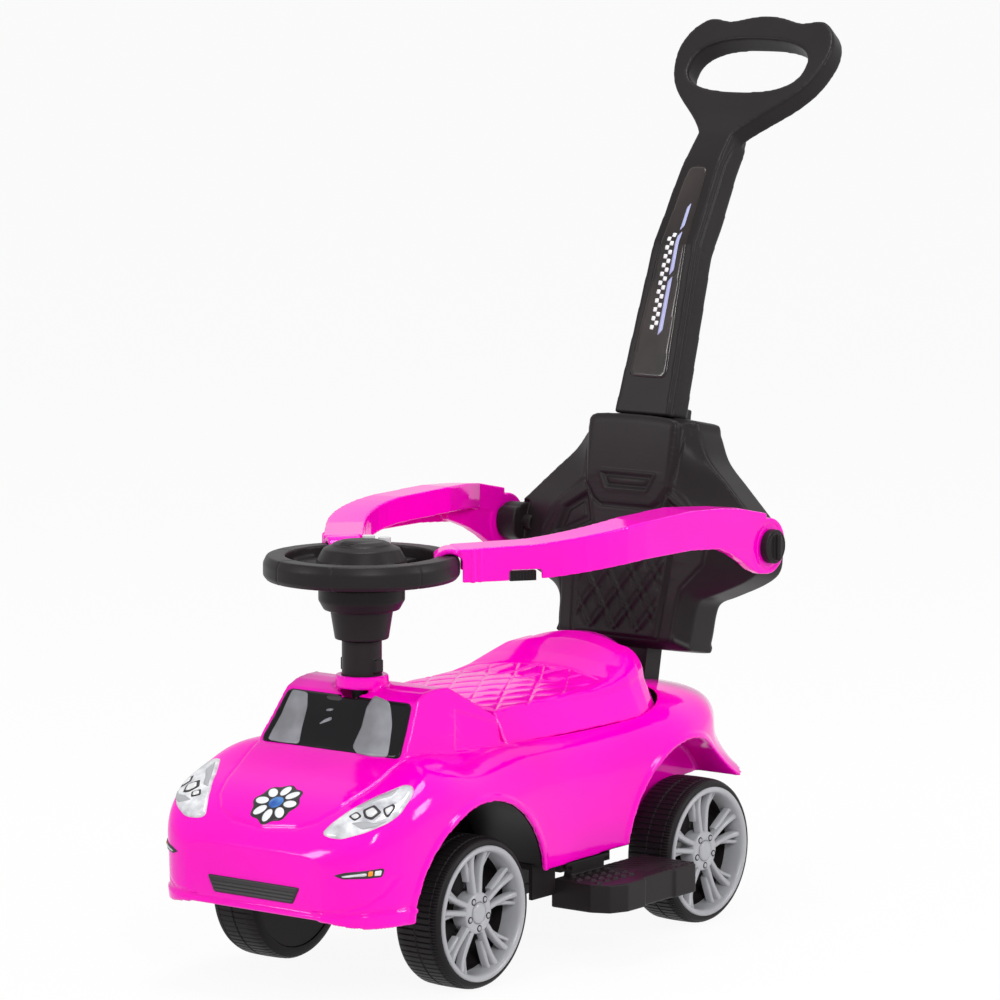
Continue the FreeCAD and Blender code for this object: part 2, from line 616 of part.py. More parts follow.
# Wheels
def wheel(end, side_name, x, side):
    spot = (x, f"{side} * {WHEEL_MID_EX}", AXLE_EX, 0 if side > 0 else 180)
    half = "Sizes.tyre_width / 2"
    seat = "(Sizes.rim_seat / 2)"
    tyre = body_at(f"tyre_{end}_{side_name}", *spot)
    revolve(tyre, polygon_sketch(tyre, "tyre_section", "XY_Plane", [
        (f"{seat} + Sizes.fit_gap", f"-{half}"),
        (f"{AXLE_EX} - Sizes.tyre_shoulder", f"-{half}"),
        (AXLE_EX, f"-{half} + Sizes.tyre_shoulder"),
        (AXLE_EX, f"{half} - Sizes.tyre_shoulder"),
        (f"{AXLE_EX} - Sizes.tyre_shoulder", half),
        (f"{seat} + Sizes.fit_gap", half)]))

    rim = body_at(f"rim_{end}_{side_name}", *spot)
    bore = "Sizes.axle_diameter / 2 + Sizes.running_gap"
    back = f"{SPOKE_FACE_EX} - Sizes.rim_disc"
    inner = f"-{half} - Sizes.hub_reach"
    lip = f"{half} + Sizes.rim_lip_depth"
    revolve(rim, polygon_sketch(rim, "rim_section", "XY_Plane", [
        (bore, inner), ("Sizes.hub_diameter / 2", inner), ("Sizes.hub_diameter / 2", back),
        (f"{seat} - Sizes.rim_wall", back), (f"{seat} - Sizes.rim_wall", f"-{half}"),
        (seat, f"-{half}"), (seat, half), ("Sizes.rim_lip / 2", half), ("Sizes.rim_lip / 2", lip),
        (f"{seat} - Sizes.rim_wall", lip), (f"{seat} - Sizes.rim_wall", SPOKE_FACE_EX),
        (bore, SPOKE_FACE_EX)]))
    near = "Sizes.hub_diameter / 2 + 5"
    far = f"{seat} - Sizes.rim_wall - 4"
    windows = (("window", "Sizes.window_inner / 2", "Sizes.window_outer / 2", near, 0),
               ("slot", "Sizes.spoke_slot / 2", "Sizes.spoke_slot / 2", f"{near} + 9", 180 / d.spoke_pairs))
    for name, inner_half, outer_half, start, turn in windows:
        sketch = polygon_sketch(rim, name, "XZ_Plane", [
            (f"-{inner_half}", start), (inner_half, start), (outer_half, far), (f"-{outer_half}", far)],
            turn=turn)
        pocket = rim.newObject("PartDesign::Pocket", f"{name}_pocket")
        pocket.Profile = sketch
        pocket.Type = "ThroughAll"
        pocket.Midplane = True
        pattern = rim.newObject("PartDesign::PolarPattern", f"{name}_pattern")
        pattern.Originals = [pocket]
        pattern.Axis = (origin_feature(rim, "Y_Axis"), [""])
        pattern.Angle = 360
        pattern.setExpression("Occurrences", "Sizes.spoke_pairs")
        rim.Tip = pattern

    cap = body_at(f"hub_cap_{end}_{side_name}", *spot)
    top = f"{SPOKE_FACE_EX} + Sizes.cap_height"
    revolve(cap, polygon_sketch(cap, "cap_section", "XY_Plane", [
        (bore, SPOKE_FACE_EX), ("Sizes.cap_diameter / 2", SPOKE_FACE_EX),
        ("Sizes.cap_diameter / 2 - 3", f"{top} - 1.5"), ("0", top), ("0", f"{top} - 2"),
        (bore, f"{top} - 2")]))


# Front axle and steering linkage
AXLE_END_EX = f"({WHEEL_MID_EX} + {SPOKE_FACE_EX} + Sizes.cap_height - 3)"
HUB_END_EX = f"({WHEEL_MID_EX} - Sizes.tyre_width / 2 - Sizes.hub_reach - Sizes.running_gap)"
KNUCKLE_TOP_EX = "(Sizes.link_low + Sizes.link_height + 1)"
BOSS_TOP_EX = "(Sizes.floor_top + 26)"
ARM_X_EX = f"({FRONT_EX} - Sizes.steering_arm)"
CRANK_X_EX = f"({COLUMN_EX} - Sizes.steering_arm)"


def along_y(radius, near, far, side, x, z):
    """A cylinder across the car, between two distances from the middle plane."""
    start = near if side > 0 else f"-{far}"
    return cylinder(radius, f"{far} - {near}", x, start, z, "Y")


def knuckle(side):
    pin_y = f"{side} * Sizes.kingpin_y"
    half_width = "Sizes.link_width / 2"
    block = cylinder("Sizes.knuckle_radius", f"{KNUCKLE_TOP_EX} - Sizes.knuckle_low",
                     FRONT_EX, pin_y, "Sizes.knuckle_low")
    kingpin = cylinder("Sizes.kingpin_diameter / 2", f"{BOSS_TOP_EX} + 2 - {KNUCKLE_TOP_EX}",
                       FRONT_EX, pin_y, KNUCKLE_TOP_EX)
    head = cylinder("Sizes.kingpin_diameter / 2 + 2", "3", FRONT_EX, pin_y,
                    f"{BOSS_TOP_EX} + Sizes.running_gap")
    stub = along_y("Sizes.axle_diameter / 2", "Sizes.kingpin_y", AXLE_END_EX, side, FRONT_EX, AXLE_EX)
    shoulder = along_y("Sizes.axle_diameter / 2 + 3", "Sizes.kingpin_y", HUB_END_EX, side,
                       FRONT_EX, AXLE_EX)
    arm = box(f"Sizes.steering_arm + {half_width}", "Sizes.link_width", "Sizes.link_height",
              f"{ARM_X_EX} - {half_width}", f"{pin_y} - {half_width}", "Sizes.link_low")
    hole = cylinder("Sizes.link_pin / 2 + Sizes.running_gap", "40", ARM_X_EX, pin_y, "Sizes.link_low - 20")
    return cut(fuse(block, kingpin, head, stub, shoulder, arm), hole)


def tie_rod():
    bar_low = "(Sizes.link_low - Sizes.running_gap - 5)"
    half_width = "Sizes.link_width / 2"
    bar = box("Sizes.link_width", "2 * Sizes.kingpin_y + Sizes.link_width", "5",
              f"{ARM_X_EX} - {half_width}", f"-Sizes.kingpin_y - {half_width}", bar_low)
    tab = box("Sizes.column_ahead + Sizes.link_width", "Sizes.link_width", "5",
              f"{ARM_X_EX} - {half_width}", f"-{half_width}", bar_low)
    spots = [(ARM_X_EX, "Sizes.kingpin_y"), (ARM_X_EX, "-Sizes.kingpin_y"), (CRANK_X_EX, "0")]
    pins = [cylinder("Sizes.link_pin / 2", "Sizes.link_height + 4", x, y, f"{bar_low} + 2") for x, y in spots]
    return fuse(bar, tab, *pins)


def steering_rod():
    half_width = "Sizes.link_width / 2"
    top = f"({HUB_LOW_EX} + Sizes.hub_floor + 6)"
    rod = cylinder("Sizes.rod_diameter / 2", f"{top} - Sizes.link_low", COLUMN_EX, "0", "Sizes.link_low")
    crank = box(f"Sizes.steering_arm + {half_width}", "Sizes.link_width", "Sizes.link_height",
                f"{CRANK_X_EX} - {half_width}", f"-{half_width}", "Sizes.link_low")
    hole = cylinder("Sizes.link_pin / 2 + Sizes.running_gap", "40", CRANK_X_EX, "0", "Sizes.link_low - 20")
    return cut(fuse(rod, crank), hole)


# Chassis floor with axle blocks, kingpin bosses, foot bearing, post socket and footrest rails
FLOOR_HALF_EX = "(0.465 * Sizes.body_width - 2 * Sizes.body_wall - 8)"
TAB_Y_EX = f"({FLOOR_HALF_EX} - 10)"
SLIDE_MID_EX = f"({FRONT_EX} - Sizes.foot_front - Sizes.foot_length / 2 + Sizes.slide_ahead)"
SLIDE_LOW_EX = f"({FLOOR_LOW_EX} - Sizes.running_gap - Sizes.slide_thickness)"


def chassis():
    depth = "Sizes.floor_thickness"
    parts = [
        box("Sizes.wheelbase + 185", "96", depth, f"{REAR_EX} - 70", "-48", FLOOR_LOW_EX),
        box("Sizes.wheelbase - 213", f"2 * {FLOOR_HALF_EX}", depth, f"{REAR_EX} + 112",
            f"-{FLOOR_HALF_EX}", FLOOR_LOW_EX),
        box("210", "152", depth, f"{REAR_EX} - 70", "-76", FLOOR_LOW_EX),
        box("18", "2 * Sizes.kingpin_y", "16", f"{FRONT_EX} - 9", "-Sizes.kingpin_y", FLOOR_LOW_EX),
        cylinder("Sizes.rod_diameter / 2 + 6", f"Sizes.floor_top + 25 - {KNUCKLE_TOP_EX} - 1",
                 COLUMN_EX, "0", f"{KNUCKLE_TOP_EX} + 1"),
        box("Sizes.post_depth + 24", "Sizes.post_width + 10", "30",
            f"{REAR_EX} - Sizes.back_foot - 18", "-Sizes.post_width / 2 - 5", "Sizes.floor_top"),
    ]
    holes = [cylinder("Sizes.rod_diameter / 2 + Sizes.running_gap", "80", COLUMN_EX, "0",
                      f"{KNUCKLE_TOP_EX} - 10"),
             cylinder("Sizes.axle_diameter / 2 + Sizes.fit_gap", "300", REAR_EX, "-150", AXLE_EX, "Y"),
             solid(post_block(d.fit_gap, d.floor_top))]
    rail_low = f"({SLIDE_LOW_EX} - Sizes.running_gap - 3)"
    rail_near = "(Sizes.slide_half + Sizes.running_gap)"
    rail_end = "(Sizes.foot_inner - Sizes.slide_reach - Sizes.foot_travel)"
    skirt_front = f"{FRONT_EX} - 101"
    skirt_rear = f"({FRONT_EX} - Sizes.foot_front + 2)"
    skirt_low = "(Sizes.foot_top - Sizes.foot_depth / 2)"
    for side in (1, -1):
        pin_y = f"{side} * Sizes.kingpin_y"
        parts.append(cylinder("Sizes.kingpin_diameter / 2 + 5",
                              f"{BOSS_TOP_EX} - {KNUCKLE_TOP_EX} - Sizes.running_gap",
                              FRONT_EX, pin_y, f"{KNUCKLE_TOP_EX} + Sizes.running_gap"))
        holes.append(cylinder("Sizes.kingpin_diameter / 2 + Sizes.running_gap", "90", FRONT_EX, pin_y,
                              f"{KNUCKLE_TOP_EX} - 10"))
        block_y = f"{HUB_END_EX} - 22" if side > 0 else f"-{HUB_END_EX}"
        parts.append(box("24", "22", f"{FLOOR_LOW_EX} - {AXLE_EX} + 12", f"{REAR_EX} - 12", block_y,
                         f"{AXLE_EX} - 12"))
        skirt_y = f"{FLOOR_HALF_EX} - 4" if side > 0 else f"-{FLOOR_HALF_EX}"
        parts.append(box(f"{skirt_front} - {skirt_rear}", "4", f"{FLOOR_LOW_EX} - {skirt_low}",
                         skirt_rear, skirt_y, skirt_low))
        rail_y = rail_end if side > 0 else f"-{FLOOR_HALF_EX}"
        length = f"{FLOOR_HALF_EX} - {rail_end}"
        for end in (1, -1):
            wall_x = f"{SLIDE_MID_EX} + {rail_near}" if end > 0 else f"{SLIDE_MID_EX} - {rail_near} - 5"
            lip_x = f"{SLIDE_MID_EX} + {rail_near} - 6" if end > 0 else f"{SLIDE_MID_EX} - {rail_near} - 5"
            parts.append(box("5", length, f"{FLOOR_LOW_EX} - {rail_low}", wall_x, rail_y, rail_low))
            parts.append(box("11", length, "3", lip_x, rail_y, rail_low))
    for x, side in SCREW_SPOTS:
        holes.append(cylinder("Sizes.screw_diameter / 2 + Sizes.fit_gap", "40", x, f"{side} * {TAB_Y_EX}",
                              "Sizes.floor_top - 20"))
    return cut(fuse(*parts), *holes)


SCREW_SPOTS = [(x, side) for x in (f"({FRONT_EX} - 128)", f"({REAR_EX} + 135)") for side in (1, -1)]


def body_screws():
    parts = []
    for x, side in SCREW_SPOTS:
        y = f"{side} * {TAB_Y_EX}"
        parts.append(cylinder("Sizes.screw_head / 2", "Sizes.screw_head_height", x, y,
                              f"{FLOOR_LOW_EX} - Sizes.screw_head_height"))
        parts.append(cylinder("Sizes.screw_diameter / 2", "Sizes.floor_thickness + 9", x, y, FLOOR_LOW_EX))
    return fuse(*parts)


# Footrests: a hollow tread with a tongue that slides under the floor
def footrest(name, side):
    front = f"({FRONT_EX} - Sizes.foot_front)"
    rear = f"({FRONT_EX} - Sizes.foot_front - Sizes.foot_length)"
    outer = "Sizes.foot_outer"
    inner = "Sizes.foot_inner"
    body = body_at(name, "0", "0", "0")
    plan = [(front, inner), (front, f"{outer} - 26"), (f"{front} - 8", f"{outer} - 8"),
            (f"{front} - 26", outer), (f"{front} - 56", outer), (f"{front} - 58", f"{outer} - 4"),
            (f"{rear} + 44", f"{outer} - 4"), (f"{rear} + 42", f"{outer} - 2"),
            (f"{rear} + 8", f"{outer} - 2"), (rear, f"{outer} - 10"), (rear, inner)]
    low = "Sizes.foot_top - Sizes.foot_depth"
    sketch = polygon_sketch(body, "tread_plan", "XY_Plane",
                            [(x, f"{side} * ({y})") for x, y in plan], low)
    tread = body.newObject("PartDesign::Pad", "tread")
    tread.Profile = sketch
    tread.setExpression("Length", "Sizes.foot_depth")
    wall = "Sizes.foot_wall"
    hollow = [(f"{front} - {wall}", f"{inner} + {wall}"), (f"{front} - {wall}", f"{outer} - 28"),
              (f"{front} - 28", f"{outer} - 4 - {wall}"), (f"{rear} + {wall}", f"{outer} - 12 - {wall}"),
              (f"{rear} + {wall}", f"{inner} + {wall}")]
    sketch = polygon_sketch(body, "hollow_plan", "XY_Plane",
                            [(x, f"{side} * ({y})") for x, y in hollow], low)
    pocket = body.newObject("PartDesign::Pocket", "hollow")
    pocket.Profile = sketch
    pocket.Reversed = True
    pocket.setExpression("Length", "Sizes.foot_depth - Sizes.foot_wall")
    neck = "(Sizes.slide_half - 8)"
    riser = [(f"-{neck}", inner), (neck, inner), (neck, f"{inner} + 10"), (f"-{neck}", f"{inner} + 10")]
    tongue = [("-Sizes.slide_half", f"{inner} - Sizes.slide_reach"),
              ("Sizes.slide_half", f"{inner} - Sizes.slide_reach"),
              ("Sizes.slide_half", f"{inner} + 10"), ("-Sizes.slide_half", f"{inner} + 10")]
    for part_name, outline, start in (("riser", riser, "Sizes.foot_top - 2"),
                                      ("tongue", tongue, SLIDE_LOW_EX)):
        sketch = polygon_sketch(body, f"{part_name}_plan", "XY_Plane",
                                [(f"{SLIDE_MID_EX} + {x}", f"{side} * ({y})") for x, y in outline], start)
        pad = body.newObject("PartDesign::Pad", part_name)
        pad.Profile = sketch
        pad.setExpression("Length", f"{SLIDE_LOW_EX} + Sizes.slide_thickness - ({start})")


# Steering wheel, hub and column
def steering_wheel():
    rim_low, rim_high, bevel = "Sizes.rim_low", "Sizes.rim_high", "Sizes.rim_bevel"
    inner = "(Sizes.wheel_outer - Sizes.rim_section)"
    tall = f"{rim_high} - {rim_low} - 2 * {bevel}"
    layers = [cone(f"Sizes.wheel_outer - {bevel} / 2", "Sizes.wheel_outer", bevel, COLUMN_EX, "0", rim_low),
              cylinder("Sizes.wheel_outer", tall, COLUMN_EX, "0", f"{rim_low} + {bevel}"),
              cone("Sizes.wheel_outer", f"Sizes.wheel_outer - {bevel} / 2", bevel, COLUMN_EX, "0",
                   f"{rim_high} - {bevel}")]
    rim = cut(fuse(*layers), cylinder(inner, "100", COLUMN_EX, "0", f"{rim_low} - 20"))
    spoke = f"{inner} + 4"
    low = f"{rim_low} + 4"
    spokes = [box(spoke, "Sizes.spoke_width", "14", f"{COLUMN_EX} - {spoke}", "-Sizes.spoke_width / 2", low),
              box("Sizes.spoke_width", f"2 * ({spoke})", "14", f"{COLUMN_EX} - Sizes.spoke_width / 2",
                  f"-({spoke})", low)]
    hub = cylinder("Sizes.hub_radius", f"{HUB_HIGH_EX} - {HUB_LOW_EX}", COLUMN_EX, "0", HUB_LOW_EX)
    cavity = cylinder("Sizes.hub_radius - Sizes.hub_wall", "60", COLUMN_EX, "0",
                      f"{HUB_LOW_EX} + Sizes.hub_floor")
    boss = cylinder("Sizes.rod_diameter / 2 + 4", "Sizes.hub_floor + 8", COLUMN_EX, "0", HUB_LOW_EX)
    bore = cylinder("Sizes.rod_diameter / 2 + Sizes.fit_gap", "Sizes.hub_floor + 7", COLUMN_EX, "0",
                    f"{HUB_LOW_EX} - 1")
    return cut(fuse(rim, cut(fuse(hub, *spokes), cavity), boss), bore)


def hub_cover():
    wall = "Sizes.hub_wall"
    rise = "Sizes.cover_height"
    lower, upper = f"{rise} * 2 / 3", f"{rise} / 3"
    outer = [cone("Sizes.hub_radius", "Sizes.hub_radius - 7", lower, COLUMN_EX, "0", HUB_HIGH_EX),
             cone("Sizes.hub_radius - 7", "Sizes.hub_radius - 22", upper, COLUMN_EX, "0",
                  f"{HUB_HIGH_EX} + {lower}")]
    inner = [cone(f"Sizes.hub_radius - {wall}", f"Sizes.hub_radius - 7 - {wall}", lower, COLUMN_EX, "0",
                  HUB_HIGH_EX),
             cone(f"Sizes.hub_radius - 7 - {wall}", f"Sizes.hub_radius - 16 - {wall}", f"{upper} - 3",
                  COLUMN_EX, "0", f"{HUB_HIGH_EX} + {lower}")]
    holes = [cylinder("Sizes.button_diameter / 2 + Sizes.running_gap", "60", BUTTON_X_EX,
                      f"{side} * Sizes.button_pitch / 2", HUB_HIGH_EX) for side in (1, -1)]
    return cut(cut(fuse(*outer), fuse(*inner)), *holes)


BUTTON_X_EX = f"({COLUMN_EX} - Sizes.button_behind)"
BUTTON_LOW_EX = f"({HUB_HIGH_EX} + Sizes.cover_height - Sizes.button_travel - 10)"


def horn_button(side):
    y = f"{side} * Sizes.button_pitch / 2"
    cap = cylinder("Sizes.button_diameter / 2", "Sizes.button_height", BUTTON_X_EX, y, BUTTON_LOW_EX)
    flange = cylinder("Sizes.button_diameter / 2 + 1", "2", BUTTON_X_EX, y, BUTTON_LOW_EX)
    return fuse(cap, flange)


def steering_shroud():
    """Tapered foot, step, bevelled flange under the wheel; hollow, with a floor round the rod."""
    flange = "Sizes.hub_radius - 2"
    bevel_top = f"({SHROUD_STEP_EX} + Sizes.shroud_bevel)"
    wall = "Sizes.shroud_wall"
    outer = [cone("Sizes.shroud_low", "Sizes.shroud_high", "Sizes.shroud_taper",
                  COLUMN_EX, "0", SHROUD_LOW_EX),
             cone("Sizes.hub_radius - 7", flange, "Sizes.shroud_bevel", COLUMN_EX, "0", SHROUD_STEP_EX),
             cylinder(flange, f"{HUB_LOW_EX} - {bevel_top}", COLUMN_EX, "0", bevel_top)]
    inner = [cone(f"Sizes.shroud_low - {wall}", f"Sizes.shroud_high - {wall}", "Sizes.shroud_taper",
                  COLUMN_EX, "0", f"{SHROUD_LOW_EX} + {wall}"),
             cone(f"Sizes.hub_radius - 7 - {wall}", f"{flange} - {wall}", f"Sizes.shroud_bevel - {wall}",
                  COLUMN_EX, "0", f"{SHROUD_STEP_EX} + {wall}"),
             cylinder(f"{flange} - {wall}", "60", COLUMN_EX, "0", bevel_top)]
    bore = cylinder("Sizes.rod_diameter / 2 + Sizes.fit_gap", "20", COLUMN_EX, "0", f"{SHROUD_LOW_EX} - 5")
    return cut(fuse(*outer), *inner, bore)


def column_sleeve():
    """Tube in the cowl's collar with a snap tab at each side."""
    low, radius = "(Sizes.dish_floor + 2)", "Sizes.sleeve_diameter / 2"
    tube = cylinder(radius, f"Sizes.sleeve_top - {low}", COLUMN_EX, "0", low)
    tabs = box("12", "Sizes.sleeve_diameter + 5", "12", f"{COLUMN_EX} - 6", f"-{radius} - 2.5",
               "Sizes.collar_height + 3")
    bore = cylinder("Sizes.rod_diameter / 2 + Sizes.running_gap", "200", COLUMN_EX, "0", f"{low} - 10")
    return cut(fuse(tube, tabs), bore)


HUB_INSIDE_EX = f"({HUB_LOW_EX} + Sizes.hub_floor)"
MODULE_X_EX = f"({COLUMN_EX} + Sizes.rod_diameter / 2 + 6)"


def battery_cells():
    radius = "Sizes.cell_diameter / 2"
    first = f"({COLUMN_EX} - Sizes.rod_diameter / 2 - 4.5 - {radius})"
    spots = (first, f"{first} - Sizes.cell_diameter - 0.5")
    return fuse(*[cylinder(radius, "Sizes.cell_length", x, "-Sizes.cell_length / 2",
                           f"{HUB_INSIDE_EX} + {radius}", "Y")
                  for x in spots])


def sound_module():
    return box("Sizes.module_length", "Sizes.module_width", "Sizes.module_height", MODULE_X_EX,
               "-Sizes.module_width / 2", HUB_INSIDE_EX)


def speaker():
    return cylinder("Sizes.speaker_diameter / 2", "Sizes.speaker_height",
                    f"{MODULE_X_EX} + Sizes.module_length / 2", "0", f"{HUB_INSIDE_EX} + Sizes.module_height")


# Seat lid and storage tub
def seat_half_at(x):
    """Half width of the seat lid's foot at a station, from its plan outline."""
    round_start = SEAT_REAR + 1.05 * d.seat_half
    if x >= round_start:
        return d.seat_half - d.seat_taper * (x - round_start) / (SEAT_FRONT - round_start)
    span = round_start - SEAT_REAR
    radius = (span ** 2 + d.seat_half ** 2) / (2 * span)
    return math.sqrt(max(radius ** 2 - (x - SEAT_REAR - radius) ** 2, 1))


# Seat stations: share of the length from the front, share of the hump's rise, roll of the top edge
SEAT_ROWS = ((0, -0.06, 5), (0.3, 0, 6), (0.5, 0.03, 8), (0.6, 0.2, 12), (0.68, 0.5, 18), (0.75, 0.84, 24),
             (0.81, 1, 28), (0.87, 0.93, 30), (0.92, 0.66, 30), (0.96, 0.18, 26), (0.985, -0.4, 20))


def seat_form(inset, foot):
    """Lofted seat: leaning sides that roll into a flat front, and a domed hump at the rear."""
    length = SEAT_FRONT - SEAT_REAR - 2 * inset
    wires = []
    for along, lift, roll in SEAT_ROWS:
        x = SEAT_FRONT - inset - along * length
        peak = d.seat_height + lift * (d.seat_hump - d.seat_height) - inset
        low = seat_half_at(x) - inset
        high = low - d.seat_lean * min(1, low / 60)
        roll = min(roll, (peak - d.seat_floor) / 2, high / 2)
        edge = peak - 0.3 * roll - 1
        bend = (1 - math.sqrt(0.5)) * roll
        half = [(low, foot), (high, edge - roll), (high - bend, edge - bend), (high - roll, edge)]
        points = [Vector(x, y, z) for y, z in half] + [Vector(x, 0, peak)]
        points += [Vector(x, -y, z) for y, z in reversed(half)]
        arcs = [Part.Arc(*points[k:k + 3]).toShape() for k in (1, 3, 5)]
        wires.append(Part.Wire([Part.makeLine(points[0], points[1])] + arcs
                               + [Part.makeLine(points[7], points[8]), Part.makeLine(points[8], points[0])]))
    return Part.makeLoft(wires, True, True)


def seat_lid():
    foot = d.seat_floor + d.running_gap
    lid = seat_form(0, foot).cut(seat_form(d.body_wall, foot - 10))
    ears = []
    for side in (1, -1):
        start = side * d.ear_from_middle - d.ear_width / 2
        ears.append(Part.makeBox(HINGE_X - SEAT_FRONT + d.body_wall, d.ear_width, d.ear_thickness,
                                 Vector(SEAT_FRONT - d.body_wall, start, HINGE_Z - d.ear_thickness / 2)))
        ears.append(Part.makeCylinder(HINGE_BARREL, d.ear_width, Vector(HINGE_X, start, HINGE_Z),
                                      Vector(0, 1, 0)))
    bore = Part.makeCylinder(d.pin_diameter / 2 + d.running_gap, d.pin_length + 10,
                             Vector(HINGE_X, -d.pin_length / 2 - 5, HINGE_Z), Vector(0, 1, 0))
    return lid.fuse(ears).cut(bore)


def storage_tub():
    gap, wall = d.fit_gap, d.tub_wall
    length, width = TUB_FRONT - TUB_REAR - 2 * gap, 2 * (d.tub_half - gap)
    corner = Vector(TUB_REAR + gap, gap - d.tub_half, d.floor_top)
    tub = Part.makeBox(length, width, d.seat_floor - d.floor_top, corner)
    flange = Part.makeBox(length + 8, width + 8, 2, corner + Vector(-4, -4, d.seat_floor - d.floor_top))
    room = Part.makeBox(length - 2 * wall, width - 2 * wall, 200, corner + Vector(wall, wall, wall))
    return tub.fuse(flange).cut(room)


# Seat back in its leaning frame: x forward off its face, z up along it
def back_outline():
    top, wing, foot, high = d.back_half_top, d.back_half_wing, d.back_half_foot, d.back_height
    half = [(foot - 10, 0), (foot, 9), (foot + 3, 39), (foot + 8, 52), (foot + 28, 61), (wing - 15, 76),
            (wing, 90), (wing, 112), (wing - 5, 130), (wing - 23, 147), (wing - 50, 171),
            (top + 15, high - 37), (top, high - 10), (top - 12, high)]
    return half + [(-y, z) for y, z in reversed(half)]


def back_prism(outline, x_from, x_to):
    return prism([Vector(x_from, y, z) for y, z in outline], Vector(x_to - x_from, 0, 0))


def back_inner(outline, wall):
    """The outline moved inward by a wall."""
    wire = Part.makePolygon([Vector(0, y, z) for y, z in outline + outline[:1]])
    return Part.Face(wire.makeOffset2D(-wall, 2))


def back_hollow(x_from, x_to):
    face = back_inner(back_outline(), d.back_wall)
    face.translate(Vector(x_from, 0, 0))
    return face.extrude(Vector(x_to - x_from, 0, 0))


PARTING = -d.back_front
BACK_REAR = -d.back_front - d.back_rear
TONGUE_LENGTH = d.handle_travel + d.tongue_grip
BACK_SCREWS = [(y, z) for y in (-62, 62) for z in (28, 140)]
pivot = back_frame().inverse().multVec(Vector(PIVOT_X, 0, d.pivot_height))


def tongue_block(grow):
    depth, half = d.tongue_depth / 2 + grow, d.tongue_half + grow
    return Part.makeBox(2 * depth, 2 * half, TONGUE_LENGTH + grow + 12,
                        Vector(PARTING - depth, -half, d.back_height - TONGUE_LENGTH - grow))


def back_bosses(x_from, x_to):
    return [Part.makeCylinder(d.screw_boss / 2, x_to - x_from, Vector(x_from, y, z), Vector(1, 0, 0))
            for y, z in BACK_SCREWS]


def back_screw_holes(x_from):
    return [Part.makeCylinder(d.screw_diameter / 2 + d.fit_gap, 40, Vector(x_from, y, z), Vector(1, 0, 0))
            for y, z in BACK_SCREWS]


def local_post(grow):
    block = post_block(grow, d.floor_top)
    block.Placement = back_frame().inverse().multiply(block.Placement)
    return block


def pad_outline():
    foot, wing, top, high = d.pad_half_foot, d.pad_half_wing, d.pad_half_top, d.back_height
    half = [(foot - 9, 6), (foot, 14), (foot + 2, 42), (foot + 5, 56), (foot + 15, 68), (wing - 8, 82),
            (wing, 94), (wing, 112), (wing - 6, 128), (wing - 18, 142), (top + 17, 156),
            (top + 4, high - 56), (top, high - 16), (top - 9, high - 5)]
    return half + [(-y, z) for y, z in reversed(half)]


def pad_form(inset):
    """The padded front: a loft from the seat back's outline to its smaller face."""
    middle = d.back_height / 2
    shrink = 1 - inset / middle
    rings = []
    for x, outline in ((-1 if inset == 0 else 0, back_outline()), (d.back_pad - inset, pad_outline())):
        corners = [Vector(x, y - math.copysign(inset, y), middle + (z - middle) * shrink) for y, z in outline]
        rings.append(Part.makePolygon(corners + corners[:1]))
    return Part.makeLoft(rings, True, True)


def backrest_shell():
    """Hollow front half with its padded face, head pad, quilted panel, wings and pivot bosses."""
    wing = d.back_half_wing
    shell = back_prism(back_outline(), 0, PARTING).cut(back_hollow(-d.back_wall, PARTING - 1))
    window = back_prism([(50, 80), (50, 150), (-50, 150), (-50, 80)], -2 * d.back_wall, d.back_wall)
    shell = shell.fuse(pad_form(0).cut(pad_form(d.back_wall))).cut(window)
    forms = back_bosses(PARTING, -d.back_wall + 0.5)
    boss_end = d.arm_face - d.arm_boss_depth - d.running_gap
    for side in (1, -1):
        plan = [(d.back_half_foot + 26, 63), (wing - 15, 76), (wing, 90), (wing, 112), (wing - 5, 130),
                (wing - 23, 147), (wing - 52, 165)]
        forms.append(back_prism([(side * y, z) for y, z in plan], -1, d.wing_reach))
        low, high = sorted((side * (d.back_half_foot + 26), side * boss_end))
        forms.append(Part.makeCylinder(d.back_boss, high - low, Vector(pivot.x, low, pivot.z),
                                       Vector(0, 1, 0)))
    bore = Part.makeCylinder(d.pivot_diameter / 2 + d.running_gap, 400, Vector(pivot.x, -200, pivot.z),
                             Vector(0, 1, 0))
    holes = [Part.makeCylinder(d.screw_diameter / 2 + d.fit_gap, 12, Vector(PARTING, y, z), Vector(1, 0, 0))
             for y, z in BACK_SCREWS]
    core = Part.makeBox(400, 2 * (d.back_half_foot + 26), 400, Vector(-200, -d.back_half_foot - 26, -100))
    face = d.back_pad - 1
    for half in ([(50, 214), (50, 161), (39, 146), (31, 141)], [(58, 100), (51, 10)]):
        outline = half + [(-y, z) for y, z in reversed(half)]
        forms.append(back_prism(outline, face, d.back_pad + d.pad_relief))
    cuts = [bore.cut(core), local_post(d.fit_gap), tongue_block(d.running_gap)] + holes
    shape = shell.fuse(forms).cut(cuts)
    shape.Placement = back_frame()
    return shape


def backrest_rear_cover():
    wall = d.back_wall
    cover = back_prism(back_outline(), PARTING, BACK_REAR).cut(back_hollow(PARTING + 1, BACK_REAR + wall))
    forms = back_bosses(BACK_REAR + wall - 0.5, PARTING)
    cheeks = ((d.post_width / 2 + d.fit_gap, wall, d.post_top),
              (d.tongue_half + d.running_gap, d.back_height - TONGUE_LENGTH, d.back_height - wall))
    for half, low, high in cheeks:
        for side in (1, -1):
            near, far = sorted((side * half, side * (half + wall)))
            forms.append(Part.makeBox(d.back_rear - 1, far - near, high - low,
                                      Vector(BACK_REAR + 1, near, low)))
    shape = cover.fuse(forms).cut([local_post(d.fit_gap), tongue_block(d.running_gap)]
                                  + back_screw_holes(BACK_REAR - 1))
    shape.Placement = back_frame()
    return shape


